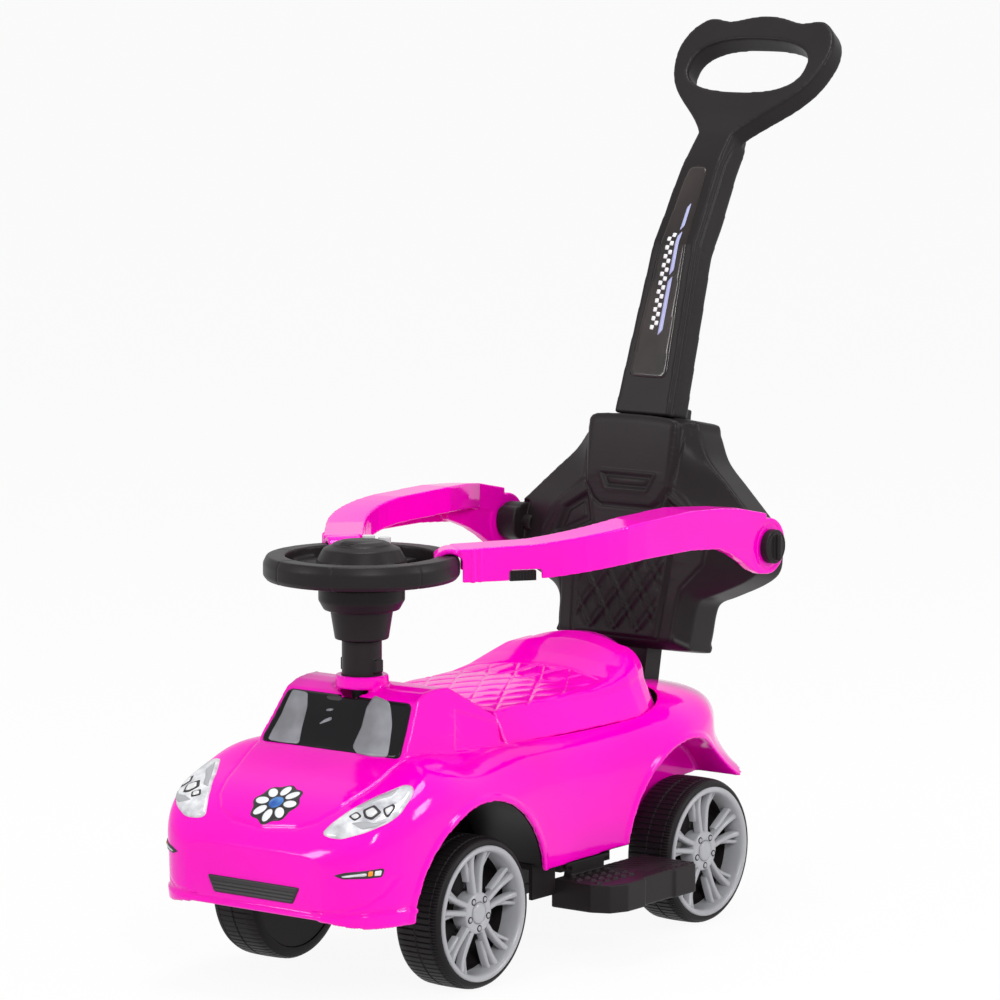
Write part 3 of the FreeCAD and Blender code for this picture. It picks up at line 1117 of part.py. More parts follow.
def backrest_screws():
    forms = []
    for y, z in BACK_SCREWS:
        head = Part.makeCylinder(d.screw_head / 2, d.screw_head_height,
                                 Vector(BACK_REAR - d.screw_head_height, y, z), Vector(1, 0, 0))
        shank = Part.makeCylinder(d.screw_diameter / 2, d.back_rear + 11, Vector(BACK_REAR, y, z),
                                  Vector(1, 0, 0))
        forms.append(head.fuse(shank))
    group = Part.makeCompound(forms)
    group.Placement = back_frame()
    return group


# Guard arms: channels open below, from the pivot boss to a saddle over the steering rim
ARM_FRONT_TOP = d.rim_high + d.saddle_gap + d.arm_wall
BEND_START = FRONT - 215


def arm_path():
    """Outer face in plan: points with their heading, a straight run, a bend and a straight end."""
    turn = math.radians(d.arm_turn)
    rows = [(PIVOT_X + 4, d.arm_face, 0.0), (PIVOT_X + 47, d.arm_face, 0.0), (PIVOT_X + 80, d.arm_face, 0.0),
            (PIVOT_X + 130, d.arm_face, 0.0), (BEND_START, d.arm_face, 0.0)]
    for step in range(1, 6):
        angle = turn * step / 5
        rows.append((BEND_START + d.arm_bend * math.sin(angle),
                     d.arm_face - d.arm_bend * (1 - math.cos(angle)), angle))
    x, y, _ = rows[-1]
    reach = 0
    inner = d.wheel_outer - d.rim_section
    while math.hypot(x + reach * math.cos(turn) - COLUMN, y - reach * math.sin(turn)) > inner + 22:
        reach += 1
    rows.append((x + reach * math.cos(turn), y - reach * math.sin(turn), turn))
    return rows


def arm_section(x, y, heading, share):
    """Inverted U across the arm; share runs from 0 at the pivot to 1 at the front."""
    wall = d.arm_wall
    top = ARM_FRONT_TOP + d.arm_crest * math.sin(math.pi * min(1, 1.12 * share) ** 0.8)
    narrow = min(1, max(0, (x - PIVOT_X - 47) / 80)) if heading == 0 else 1
    width = d.arm_boss_depth + (d.arm_width - d.arm_boss_depth) * narrow
    low = top - d.arm_height + (d.arm_height - 32) * share
    inner_low = top - 0.6 * d.arm_height
    plan = [(0, low), (0, top), (width, top + 1), (width, inner_low), (width - wall, inner_low),
            (width - wall, top - wall), (wall, top - wall), (wall, low)]
    inward = Vector(-math.sin(heading), -math.cos(heading), 0)
    points = [Vector(x, y, 0) + inward * across + Vector(0, 0, z) for across, z in plan]
    return Part.makePolygon(points + points[:1])


def latch_frame():
    """Middle of the latch slide on the arm's outer face, x along the arm."""
    x, y, heading = arm_path()[-1]
    back = 62
    spot = Vector(x - back * math.cos(heading), y + back * math.sin(heading), d.rim_low + 2)
    return Placement(spot, Rotation(Vector(0, 0, 1), -math.degrees(heading)))


def guard_arm(side):
    path = arm_path()
    ends = path[0][0], path[-1][0]
    wires = [arm_section(x, y, heading, (x - ends[0]) / (ends[1] - ends[0])) for x, y, heading in path]
    arm = Part.makeLoft(wires, True, True)
    boss = Part.makeCylinder(d.arm_boss, d.arm_boss_depth,
                             Vector(PIVOT_X, d.arm_face - d.arm_boss_depth, d.pivot_height), Vector(0, 1, 0))
    bore = Part.makeCylinder(d.pivot_diameter / 2 + d.running_gap, 60,
                             Vector(PIVOT_X, d.arm_face - 40, d.pivot_height), Vector(0, 1, 0))
    saddle = Part.makeCylinder(d.wheel_outer + d.saddle_gap, 60,
                               Vector(COLUMN, 0, d.rim_high + d.saddle_gap - 60))
    slot = Part.makeBox(d.latch_length + d.latch_travel + 2 * d.running_gap, 12, 10 + d.running_gap + 5,
                        Vector(-d.latch_length / 2 - d.latch_travel - d.running_gap, -8, -5))
    slot.Placement = latch_frame()
    arm = arm.fuse(boss).cut([bore, saddle, slot])
    return arm if side > 0 else mirrored(arm)


def arm_latch(side):
    latch = Part.makeBox(d.latch_length, 7, 10, Vector(-d.latch_length / 2, -6.5, 0))
    latch.Placement = latch_frame()
    return latch if side > 0 else mirrored(latch)


def arm_knob(side):
    face = "(Sizes.arm_face + Sizes.running_gap)"
    head = along_y("Sizes.knob_diameter / 2", face, f"({face} + Sizes.knob_height)", side, PIVOT_EX,
                   "Sizes.pivot_height")
    shaft = along_y("Sizes.pivot_diameter / 2", f"({face} - 46)", f"({face} + 1)", side, PIVOT_EX,
                    "Sizes.pivot_height")
    ridge_y = f"{face} + Sizes.knob_height" if side > 0 else f"-{face} - Sizes.knob_height - 3"
    ridge = box("6", "3", "Sizes.knob_diameter - 8", f"{PIVOT_EX} - 3", ridge_y,
                "Sizes.pivot_height - Sizes.knob_diameter / 2 + 4")
    return fuse(head, shaft, ridge)


# Push handle: tongue in the seat back, leaning stem, grip loop
def stem_path():
    """Front line of the stem in side view: foot, bend and neck, as (x, z)."""
    return [(REAR - d.stem_behind, d.stem_low), (REAR - d.bend_behind, d.bend_height),
            (REAR - d.neck_behind, d.neck_height)]


def grip_frame():
    x, z = stem_path()[-1]
    return Placement(Vector(x, 0, z), Rotation(Vector(0, 1, 0), -d.grip_lean))


def behind(path, depth):
    """The path moved back by a depth, square to its stretches."""
    normals = []
    for (ax, az), (bx, bz) in zip(path, path[1:]):
        length = math.hypot(bx - ax, bz - az)
        normals.append(((bz - az) / length, (ax - bx) / length))
    moved = []
    for k, (x, z) in enumerate(path):
        near = normals[max(0, k - 1):k + 1]
        nx, nz = (sum(n[axis] for n in near) / len(near) for axis in (0, 1))
        scale = depth / (nx * nx + nz * nz)
        moved.append((x - nx * scale, z - nz * scale))
    return moved


def stem_strip(path, front, rear, margin):
    """The stem between two depths, tapered across the car, with a margin left bare at its sides."""
    outline = behind(path, front) + behind(path, rear)[::-1]
    reach = Vector(0, d.stem_half_low, 0)
    strip = prism([Vector(x, 0, z) - reach for x, z in outline], reach * 2)
    slope = (d.stem_half_low - d.stem_half_high) / (d.neck_height - d.stem_low)
    corners = []
    for z in (d.stem_low - 60, d.neck_height + 60):
        half = d.stem_half_low - slope * (z - d.stem_low) - margin
        corners.append((half, z))
    corners += [(-y, z) for y, z in reversed(corners)]
    start, span = REAR - 2 * d.neck_behind, Vector(2 * d.neck_behind, 0, 0)
    wedge = prism([Vector(start, y, z) for y, z in corners], span)
    return strip.common(wedge)


def panel_form(grow):
    (ax, az), (bx, bz), (cx, cz) = stem_path()
    low = ax + (bx - ax) * (d.panel_low - az) / (bz - az), d.panel_low
    high = bx + (cx - bx) * (d.panel_high - bz) / (cz - bz), d.panel_high
    return stem_strip([low, (bx, bz), high], -grow, d.panel_depth, d.panel_margin)


def grip_loop():
    half, length, bar = d.grip_half, d.grip_length, d.grip_bar
    side = [(d.stem_half_high, 0), (0.54 * half, 0.20 * length), (0.85 * half, 0.40 * length),
            (0.99 * half, 0.62 * length), (half, 0.73 * length), (0.90 * half, 0.89 * length),
            (0.72 * half, 0.965 * length), (0.48 * half, 0.945 * length), (0.3 * half, 0.97 * length)]
    points = side + [(0, length)] + [(-y, z) for y, z in reversed(side)]
    points = [Vector(0, y, z) for y, z in points]
    curve = Part.BSplineCurve()
    curve.interpolate(points)
    outer = Part.Face(Part.Wire([curve.toShape(), Part.makeLine(points[-1], points[0])]))
    hole_half = half - bar
    hole_low, hole_high = 0.35 * length, length - 1.3 * bar
    middle, reach = (hole_low + hole_high) / 2, (hole_high - hole_low) / 2
    ring = []
    for step in range(24):
        angle = math.tau * step / 24
        across = math.copysign(abs(math.cos(angle)) ** 0.8, math.cos(angle))
        rise = math.copysign(abs(math.sin(angle)) ** 0.8, math.sin(angle))
        ring.append(Vector(0, hole_half * across, middle + reach * rise))
    hole = Part.BSplineCurve()
    hole.interpolate(ring, PeriodicFlag=True)
    loop = outer.cut(Part.Face(Part.Wire(hole.toShape()))).extrude(Vector(-d.grip_depth, 0, 0))
    loop.Placement = grip_frame()
    return loop


def handle():
    (ax, az), (bx, bz), neck_point = stem_path()
    foot = ax - (bx - ax) * 0.1, az - (bz - az) * 0.1
    path = [foot, (bx, bz), neck_point]
    stem = stem_strip(path, 0, d.stem_depth, 0)
    below = Part.makeBox(400, 400, 400, Vector(-200, -200, d.back_height + d.running_gap - 400))
    below.Placement = back_frame()
    middle = behind(path, d.stem_depth / 2)[-1]
    neck = Part.makeCylinder(d.stem_depth / 2 - 1, 2 * d.stem_half_high - 2,
                             Vector(middle[0], 1 - d.stem_half_high, middle[1]), Vector(0, 1, 0))
    tongue = tongue_block(0)
    tongue.Placement = back_frame()
    return stem.cut(below).fuse([neck, tongue, grip_loop()]).cut(panel_form(5))


# Document: one object for each sub-part
HULL_SEAT = hull(d.fit_gap)
HULL_PROUD = hull(d.lamp_proud)
node(solid(body_shell()), "body_shell")
node(solid(patch(GRILLE, (1, 0, 0))), "grille_panel")
lamps = (("headlamp", patch(HEADLAMP, (0.72, 0.52, 0.46))), ("fog_lamp", patch(FOG_LAMP, (0.85, 0.53, 0))))
for name, lamp in lamps:
    node(solid(lamp), f"{name}_left")
    node(solid(mirrored(lamp)), f"{name}_right")
windscreen_panel()
node(solid(wheel_liners()), "front_wheel_liners")
node(chassis(), "chassis")
node(body_screws(), "body_screws")
node(cylinder("Sizes.axle_diameter / 2", f"2 * {AXLE_END_EX}", REAR_EX, f"-{AXLE_END_EX}", AXLE_EX, "Y"),
     "rear_axle")
for end, x in (("front", FRONT_EX), ("rear", REAR_EX)):
    for side_name, side in SIDES:
        wheel(end, side_name, x, side)
for side_name, side in SIDES:
    node(knuckle(side), f"knuckle_{side_name}")
    footrest(f"footrest_{side_name}", side)
    node(horn_button(side), f"horn_button_{side_name}")
    node(solid(guard_arm(side)), f"guard_arm_{side_name}")
    node(solid(arm_latch(side)), f"arm_latch_{side_name}")
    node(arm_knob(side), f"arm_knob_{side_name}")
node(tie_rod(), "tie_rod")
node(steering_rod(), "steering_rod")
node(steering_wheel(), "steering_wheel")
node(hub_cover(), "steering_hub_cover")
node(steering_shroud(), "steering_shroud")
node(battery_cells(), "battery_cells")
node(sound_module(), "sound_module")
node(speaker(), "speaker")
node(column_sleeve(), "column_sleeve")
node(solid(seat_lid()), "seat_lid")
node(cylinder("Sizes.pin_diameter / 2", "Sizes.pin_length", f"{HINGE_X:.4f}", "-Sizes.pin_length / 2",
              f"{HINGE_Z:.4f}", "Y"), "seat_hinge_pin")
node(solid(storage_tub()), "storage_tub")
node(solid(backrest_shell()), "backrest_shell")
node(solid(backrest_rear_cover()), "backrest_rear_cover")
node(solid(post_block(0, d.floor_top)), "backrest_post")
node(solid(backrest_screws()), "backrest_screws")
node(solid(handle()), "handle")
node(solid(panel_form(0)), "handle_panel")

doc.recompute()
for obj in doc.Objects:
    if "Invalid" in obj.State or "Error" in obj.State:
        raise RuntimeError(f"{obj.Label} failed: {obj.State}")
for obj in nodes:
    if obj.Shape.isNull() or not obj.Shape.isValid() or not obj.Shape.Solids:
        raise RuntimeError(f"{obj.Label} has no valid solid")

os.makedirs("parts", exist_ok=True)
for obj in nodes:
    obj.Shape.exportStep(f"parts/{obj.Label}.step")
    print(f"{obj.Label:24s} {len(obj.Shape.Solids)} solid {obj.Shape.Volume / 1000:9.1f} cm3")
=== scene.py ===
import math

import bmesh
import bpy
import numpy as np
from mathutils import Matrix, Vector
from mathutils.bvhtree import BVHTree
from mathutils.geometry import delaunay_2d_cdt


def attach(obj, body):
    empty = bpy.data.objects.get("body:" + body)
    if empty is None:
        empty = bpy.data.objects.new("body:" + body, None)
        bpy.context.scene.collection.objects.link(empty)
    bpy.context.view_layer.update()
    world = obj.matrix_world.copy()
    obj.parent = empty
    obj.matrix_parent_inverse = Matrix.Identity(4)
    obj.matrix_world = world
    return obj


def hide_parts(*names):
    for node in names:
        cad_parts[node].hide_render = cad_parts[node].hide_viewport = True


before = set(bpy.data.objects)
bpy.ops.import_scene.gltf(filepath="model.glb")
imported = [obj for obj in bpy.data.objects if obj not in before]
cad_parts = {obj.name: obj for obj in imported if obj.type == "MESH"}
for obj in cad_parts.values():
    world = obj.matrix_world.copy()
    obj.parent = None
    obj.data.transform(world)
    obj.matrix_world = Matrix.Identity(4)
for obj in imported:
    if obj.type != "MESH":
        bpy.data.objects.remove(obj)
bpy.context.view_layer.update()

MM = 0.001


# Materials
CLOUD_LOW, CLOUD_HIGH = 0.35, 0.65
BUMP_STRENGTH = 0.35


def shader(name):
    """A node material with its Principled shader, and a function that adds nodes."""
    material = bpy.data.materials.new(name)
    material.use_nodes = True
    tree = material.node_tree
    principled = tree.nodes["Principled BSDF"]

    def add(kind, **sockets):
        made = tree.nodes.new(kind)
        for key, value in sockets.items():
            made.inputs[key].default_value = value
        return made

    return material, tree, principled, add


def moulded(name, dark, light, roughness, grain, depth, specular=0.3, cloud=9.0):
    """Moulded plastic: two close colours in soft clouds, and a fine grain in gloss and bump."""
    material, tree, principled, add = shader(name)
    place = add("ShaderNodeTexCoord")
    clouds = add("ShaderNodeTexNoise", Scale=cloud, Detail=3.0)
    tint = add("ShaderNodeValToRGB")
    tint.color_ramp.elements[0].color = (*dark, 1)
    tint.color_ramp.elements[1].color = (*light, 1)
    tint.color_ramp.elements[0].position = CLOUD_LOW
    tint.color_ramp.elements[1].position = CLOUD_HIGH
    fine = add("ShaderNodeTexNoise", Scale=grain, Detail=2.0)
    gloss = add("ShaderNodeMapRange")
    gloss.inputs["To Min"].default_value = roughness[0]
    gloss.inputs["To Max"].default_value = roughness[1]
    bump = add("ShaderNodeBump", Strength=BUMP_STRENGTH, Distance=depth)
    link = tree.links.new
    link(place.outputs["Object"], clouds.inputs["Vector"])
    link(place.outputs["Object"], fine.inputs["Vector"])
    link(clouds.outputs["Fac"], tint.inputs["Fac"])
    link(tint.outputs["Color"], principled.inputs["Base Color"])
    link(fine.outputs["Fac"], gloss.inputs["Value"])
    link(gloss.outputs["Result"], principled.inputs["Roughness"])
    link(fine.outputs["Fac"], bump.inputs["Height"])
    link(bump.outputs["Normal"], principled.inputs["Normal"])
    principled.inputs["Specular IOR Level"].default_value = specular
    return material


PINK = moulded("pink_gloss", (0.90, 0.0, 0.50), (0.95, 0.0, 0.54), (0.07, 0.10),
               grain=900.0, depth=0.00002, specular=0.2)
BLACK = moulded("black_matt", (0.011, 0.009, 0.0095), (0.016, 0.013, 0.014), (0.36, 0.46),
                grain=1600.0, depth=0.00008, specular=0.16)
TYRE = moulded("tyre_black", (0.009, 0.008, 0.009), (0.014, 0.012, 0.013), (0.4, 0.52),
               grain=1400.0, depth=0.0001, specular=0.15)
GLASS = moulded("screen_black", (0.008, 0.008, 0.009), (0.013, 0.013, 0.014), (0.08, 0.12),
                grain=700.0, depth=0.00002, specular=0.12)
SILVER = moulded("rim_silver", (0.34, 0.345, 0.365), (0.40, 0.405, 0.425), (0.25, 0.33),
                 grain=1500.0, depth=0.00004, specular=0.5)
CLEAR = moulded("lamp_clear", (0.42, 0.43, 0.46), (0.80, 0.81, 0.83), (0.06, 0.1),
                grain=800.0, depth=0.00003, specular=0.6, cloud=60.0)
AMBER = moulded("fog_amber", (0.85, 0.22, 0.02), (0.95, 0.32, 0.03), (0.12, 0.2),
                grain=800.0, depth=0.00004, specular=0.2)
GRILLE = moulded("grille_dark", (0.022, 0.02, 0.022), (0.034, 0.031, 0.033), (0.35, 0.5),
                 grain=1200.0, depth=0.0001, specular=0.3)
PRINT = moulded("panel_print", (0.014, 0.011, 0.011), (0.035, 0.028, 0.026), (0.1, 0.16),
                grain=500.0, depth=0.00002, specular=0.3, cloud=14.0)
STEEL = moulded("steel", (0.42, 0.42, 0.43), (0.52, 0.52, 0.53), (0.25, 0.4),
                grain=1800.0, depth=0.00005, specular=0.5)
CHROME = moulded("button_chrome", (0.62, 0.62, 0.63), (0.72, 0.72, 0.73), (0.08, 0.14),
                 grain=900.0, depth=0.00002, specular=0.6)
GREEN = moulded("module_green", (0.01, 0.10, 0.03), (0.02, 0.16, 0.05), (0.3, 0.45),
                grain=1200.0, depth=0.00005)
PALE = moulded("print_pale", (0.74, 0.75, 0.76), (0.84, 0.85, 0.86), (0.22, 0.3),
               grain=900.0, depth=0.00003)
INK = moulded("print_dark", (0.018, 0.017, 0.019), (0.028, 0.027, 0.029), (0.22, 0.3),
              grain=900.0, depth=0.00003)
BLUE = moulded("badge_blue", (0.015, 0.08, 0.38), (0.12, 0.38, 0.75), (0.15, 0.22),
               grain=900.0, depth=0.00003, specular=0.3, cloud=45.0)
LILAC = moulded("print_lilac", (0.34, 0.36, 0.62), (0.5, 0.52, 0.76), (0.2, 0.28),
                grain=900.0, depth=0.00003)
STREAK = moulded("screen_streak", (0.19, 0.195, 0.21), (0.33, 0.34, 0.37), (0.12, 0.2),
                 grain=900.0, depth=0.00003, specular=0.3, cloud=22.0)
WRAP = moulded("cell_wrap", (0.03, 0.05, 0.2), (0.05, 0.08, 0.3), (0.25, 0.4),
               grain=1200.0, depth=0.00003)

SLOT_MATERIALS = {
    "body_pink": PINK,
    "black_plastic": BLACK,
    "screen_black": GLASS,
    "lamp_clear": CLEAR,
    "fog_amber": AMBER,
    "grille_dark": GRILLE,
    "panel_print": PRINT,
    "steel": STEEL,
    "button_chrome": CHROME,
    "module_green": GREEN,
    "cell_wrap": WRAP,
    "tyre_black": TYRE,
    "rim_silver": SILVER,
}


def dress_frame():
    """Give each CAD node the material of its slot."""
    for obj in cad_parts.values():
        for slot in obj.material_slots:
            kind = slot.material.name.split(".")[0] if slot.material else ""
            for key, material in SLOT_MATERIALS.items():
                if key in kind:
                    slot.material = material


dress_frame()


# Mesh tools; shapes are written in millimetres in the row frame
MID_X = 71.6
HALF_BASE = 185.5
FRONT, REAR = HALF_BASE + MID_X, -HALF_BASE + MID_X
COLUMN = FRONT + 10.0
AXLE_Z = 72.5
WHEEL_MID = 111.0
SIDES = (("left", 1), ("right", -1))
CURVE_STEPS = 16


def add_object(name, verts, faces, material):
    """A new mesh object from points in millimetres, with outward normals and smooth shading."""
    mesh = bpy.data.meshes.new(name)
    mesh.from_pydata([(x * MM, y * MM, z * MM) for x, y, z in verts], [], faces)
    mesh.validate()
    obj = bpy.data.objects.new(name, mesh)
    bpy.context.collection.objects.link(obj)
    mesh.materials.append(material)
    form = bmesh.new()
    form.from_mesh(mesh)
    bmesh.ops.recalc_face_normals(form, faces=form.faces)
    for face in form.faces:
        face.smooth = True
    form.to_mesh(mesh)
    form.free()
    return obj


def bake(obj):
    """Apply an object's modifiers to its mesh."""
    graph = bpy.context.evaluated_depsgraph_get()
    mesh = bpy.data.meshes.new_from_object(obj.evaluated_get(graph))
    obj.modifiers.clear()
    obj.data = mesh
    return obj


def crisp(obj, angle):
    """Smooth shading that keeps edges sharper than an angle in degrees."""
    limit = math.radians(angle)
    form = bmesh.new()
    form.from_mesh(obj.data)
    for edge in form.edges:
        edge.smooth = len(edge.link_faces) == 2 and edge.calc_face_angle(0) < limit
    form.to_mesh(obj.data)
    form.free()
    return obj


def points_of(obj):
    flat = np.empty(len(obj.data.vertices) * 3, dtype=np.float32)
    obj.data.vertices.foreach_get("co", flat)
    return flat.reshape(-1, 3) / MM


def normals_of(obj):
    flat = np.empty(len(obj.data.vertices) * 3, dtype=np.float32)
    obj.data.vertex_normals.foreach_get("vector", flat)
    return flat.reshape(-1, 3)


def set_points(obj, points):
    obj.data.vertices.foreach_set("co", (points * MM).astype(np.float32).ravel())
    obj.data.update()


def soften(name, nodes, material, voxel, rounds, extra=()):
    """A skin over CAD nodes and extra forms with every edge rounded, ready for modelling in code."""
    form = bmesh.new()
    for node in nodes:
        form.from_mesh(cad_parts[node].data)
    for other in extra:
        form.from_mesh(other.data)
        bpy.data.objects.remove(other)
    mesh = bpy.data.meshes.new(name)
    form.to_mesh(mesh)
    form.free()
    obj = bpy.data.objects.new(name, mesh)
    bpy.context.collection.objects.link(obj)
    remesh = obj.modifiers.new("skin", "REMESH")
    remesh.mode = "VOXEL"
    remesh.voxel_size = voxel * MM
    blur = obj.modifiers.new("round", "SMOOTH")
    blur.factor = 0.5
    blur.iterations = rounds
    bake(obj)
    obj.data.materials.clear()
    obj.data.materials.append(material)
    return obj


def thin(obj, share):
    """Drop faces that the form does not need."""
    drop = obj.modifiers.new("thin", "DECIMATE")
    drop.ratio = share
    bake(obj)
    for face in obj.data.polygons:
        face.use_smooth = True
    return obj


def step(value, low, high):
    """Smooth rise from 0 at low to 1 at high."""
    t = np.clip((value - low) / (high - low), 0.0, 1.0)
    return t * t * (3 - 2 * t)


def ridge(distance, half):
    """A rounded bump across a line, 1 on it and 0 beyond half."""
    return 1 - step(np.abs(distance), 0.0, half)


def line_distance(px, py, line):
    """Distance in a plane from points to an open polyline."""
    best = np.full(px.shape, 1e9)
    for (ax, ay), (bx, by) in zip(line, line[1:]):
        ux, uy = bx - ax, by - ay
        t = np.clip(((px - ax) * ux + (py - ay) * uy) / (ux * ux + uy * uy), 0, 1)
        best = np.minimum(best, np.hypot(px - ax - t * ux, py - ay - t * uy))
    return best


def inside(px, py, outline):
    """Signed distance in a plane to a closed outline, positive inside."""
    hit = np.zeros(px.shape, bool)
    for (ax, ay), (bx, by) in zip(outline, outline[1:] + outline[:1]):
        cross = (ay > py) != (by > py)
        with np.errstate(divide="ignore", invalid="ignore"):
            hit ^= cross & (px < (bx - ax) * (py - ay) / (by - ay + 1e-12) + ax)
    gap = line_distance(px, py, outline + outline[:1])
    return np.where(hit, gap, -gap)


def curve(points, count, closed=False):
    """Points evenly spread on a smooth curve through the given ones."""
    points = np.array(points, float)
    if closed:
        points = np.vstack([points[-1], points, points[0], points[1]])
    else:
        points = np.vstack([2 * points[0] - points[1], points, 2 * points[-1] - points[-2]])
    out = []
    for a, b, c, e in zip(points, points[1:], points[2:], points[3:]):
        for t in np.linspace(0, 1, CURVE_STEPS, endpoint=False):
            out.append(0.5 * (2 * b + (c - a) * t + (2 * a - 5 * b + 4 * c - e) * t ** 2
                              + (3 * b - a - 3 * c + e) * t ** 3))
    out.append(points[-2])
    out = np.array(out)
    run = np.concatenate([[0], np.cumsum(np.linalg.norm(np.diff(out, axis=0), axis=1))])
    at = np.linspace(0, run[-1], count, endpoint=not closed)
    return np.column_stack([np.interp(at, run, out[:, k]) for k in range(out.shape[1])])


def turned(name, profile, material, place, segments, radius=None):
    """A closed profile (r, w) turned about an axis; place maps (across, along, up) to the row frame."""
    verts, faces = [], []
    count = len(profile)
    for k in range(segments):
        angle = math.tau * k / segments
        for r, w in profile:
            if radius:
                r = radius(r, w, k)
            verts.append(place(r * math.cos(angle), w, r * math.sin(angle)))
    for k in range(segments):
        nxt = (k + 1) % segments
        for i in range(count):
            j = (i + 1) % count
            faces.append((k * count + i, k * count + j, nxt * count + j, nxt * count + i))
    return add_object(name, verts, faces, material)


def joined(name, parts):
    """Several objects as one piece."""
    first = parts[0]
    with bpy.context.temp_override(active_object=first, selected_editable_objects=parts):
        bpy.ops.object.join()
    first.name = name
    return first


def piece(obj, body, slot, *nodes):
    """Let an object ride a body, in place of CAD nodes; slot is not used."""
    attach(obj, body)
    if nodes:
        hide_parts(*nodes)
    return obj


# Body: the CAD form with rounded edges, arch lips, bonnet panel, bumper lip and side windows
ARCHES = ((FRONT, AXLE_Z, 106.0), (REAR + 31.0, AXLE_Z + 17.0, 100.0))
BONNET = [(x + MID_X, y) for x, y in (
    (200, 92), (247, 87), (272, 84), (300, 78), (322, 70), (335, 58), (342, 38), (345, 0))]
BONNET_OUTLINE = BONNET + [(x, -y) for x, y in reversed(BONNET[:-1])]
SIDE_WINDOW = [(x + MID_X, z) for x, z in ((161, 257), (98, 236), (93, 216), (171, 222))]
BUMPER_CREASE = [(70, 94), (100, 97), (118, 104), (128, 114), (133, 127)]
LIP_RISE = 2.2
PANEL_RISE = 0.9
BUMPER_SEAM, BUMPER_RISE = 93.0, 2.0
CREASE_DEPTH = 1.2
WINDOW_DEPTH = 2.2


def body():
    obj = soften("body", ["body_shell"], PINK, voxel=1.5, rounds=9)
    points, normals = points_of(obj), normals_of(obj)
    x, y, z = points.T
    side = np.sign(y)
    away = np.abs(y)
    outward = step(normals[:, 1] * side, 0.25, 0.6)
    move = np.zeros_like(points)
    for arch_x, arch_z, radius in ARCHES:
        gap = np.hypot(x - arch_x, z - arch_z) - radius
        lip = (1 - step(gap, 4.0, 8.5)) * step(gap, -4.0, 0.0) * step(away, 96, 108) * outward
        move[:, 1] += side * LIP_RISE * lip
    top = step(normals[:, 2], 0.2, 0.45) * step(z, 140, 152) * step(x, 300, 312)
    depth = inside(x, y, BONNET_OUTLINE)
    push = top * (PANEL_RISE * step(depth, 0.0, 2.5) - PANEL_RISE * ridge(depth + 0.8, 2.2))
    ahead = step(x, 318, 330) * step(normals[:, 0] + np.abs(normals[:, 1]), 0.3, 0.6)
    seam = z - BUMPER_SEAM - 4.0 * step(away, 90, 138)
    push += ahead * (BUMPER_RISE * (1 - step(seam, -2.0, 0.5)) - ridge(seam - 1.0, 2.5))
    crease = line_distance(away, z, BUMPER_CREASE)
    push -= ahead * CREASE_DEPTH * ridge(crease, 2.6)
    pane = inside(x, z, SIDE_WINDOW)
    wall = outward * step(away, 66, 74) * (1 - step(away, 108, 114))
    push -= wall * WINDOW_DEPTH * step(pane, -1.5, 1.5)
    set_points(obj, points + move + normals * push[:, None])
    return piece(thin(obj, share=0.45), "car", "body_pink", "body_shell")


BODY = body()
BODY_TREE = BVHTree.FromObject(BODY, bpy.context.evaluated_depsgraph_get())


# Pieces laid on a surface: an outline seen along a direction, dropped on it
CORNER_STEPS, CORNER_SHARE = 6, 0.45
FEWEST_POINTS = 12
GRID_MARGIN = 0.6
FILL_INSIDE, MERGE = 1, 1e-5
RAY_FROM, NEAR_FROM = 900, 250
SUNK = 0.6


def view_axes(toward):
    """The direction with its right and up, for someone who looks at the part from there."""
    toward = Vector(toward).normalized()
    right = Vector((-toward.y, toward.x, 0)).normalized()
    return toward, right, toward.cross(right)


def rounded(outline, corner, pitch):
    """Points spread along a closed outline whose corners are rounded."""
    outline = np.array(outline, float)
    path = []
    for before, at, after in zip(np.roll(outline, 1, 0), outline, np.roll(outline, -1, 0)):
        one, two = np.linalg.norm(before - at), np.linalg.norm(after - at)
        a = at + (before - at) * min(corner / one, CORNER_SHARE)
        b = at + (after - at) * min(corner / two, CORNER_SHARE)
        for t in np.linspace(0, 1, CORNER_STEPS):
            path.append((1 - t) ** 2 * a + 2 * t * (1 - t) * at + t * t * b)
    path = np.array(path + path[:1])
    run = np.concatenate([[0], np.cumsum(np.linalg.norm(np.diff(path, axis=0), axis=1))])
    at = np.linspace(0, run[-1], max(FEWEST_POINTS, int(run[-1] / pitch)), endpoint=False)
    return [(float(np.interp(v, run, path[:, 0])), float(np.interp(v, run, path[:, 1]))) for v in at]


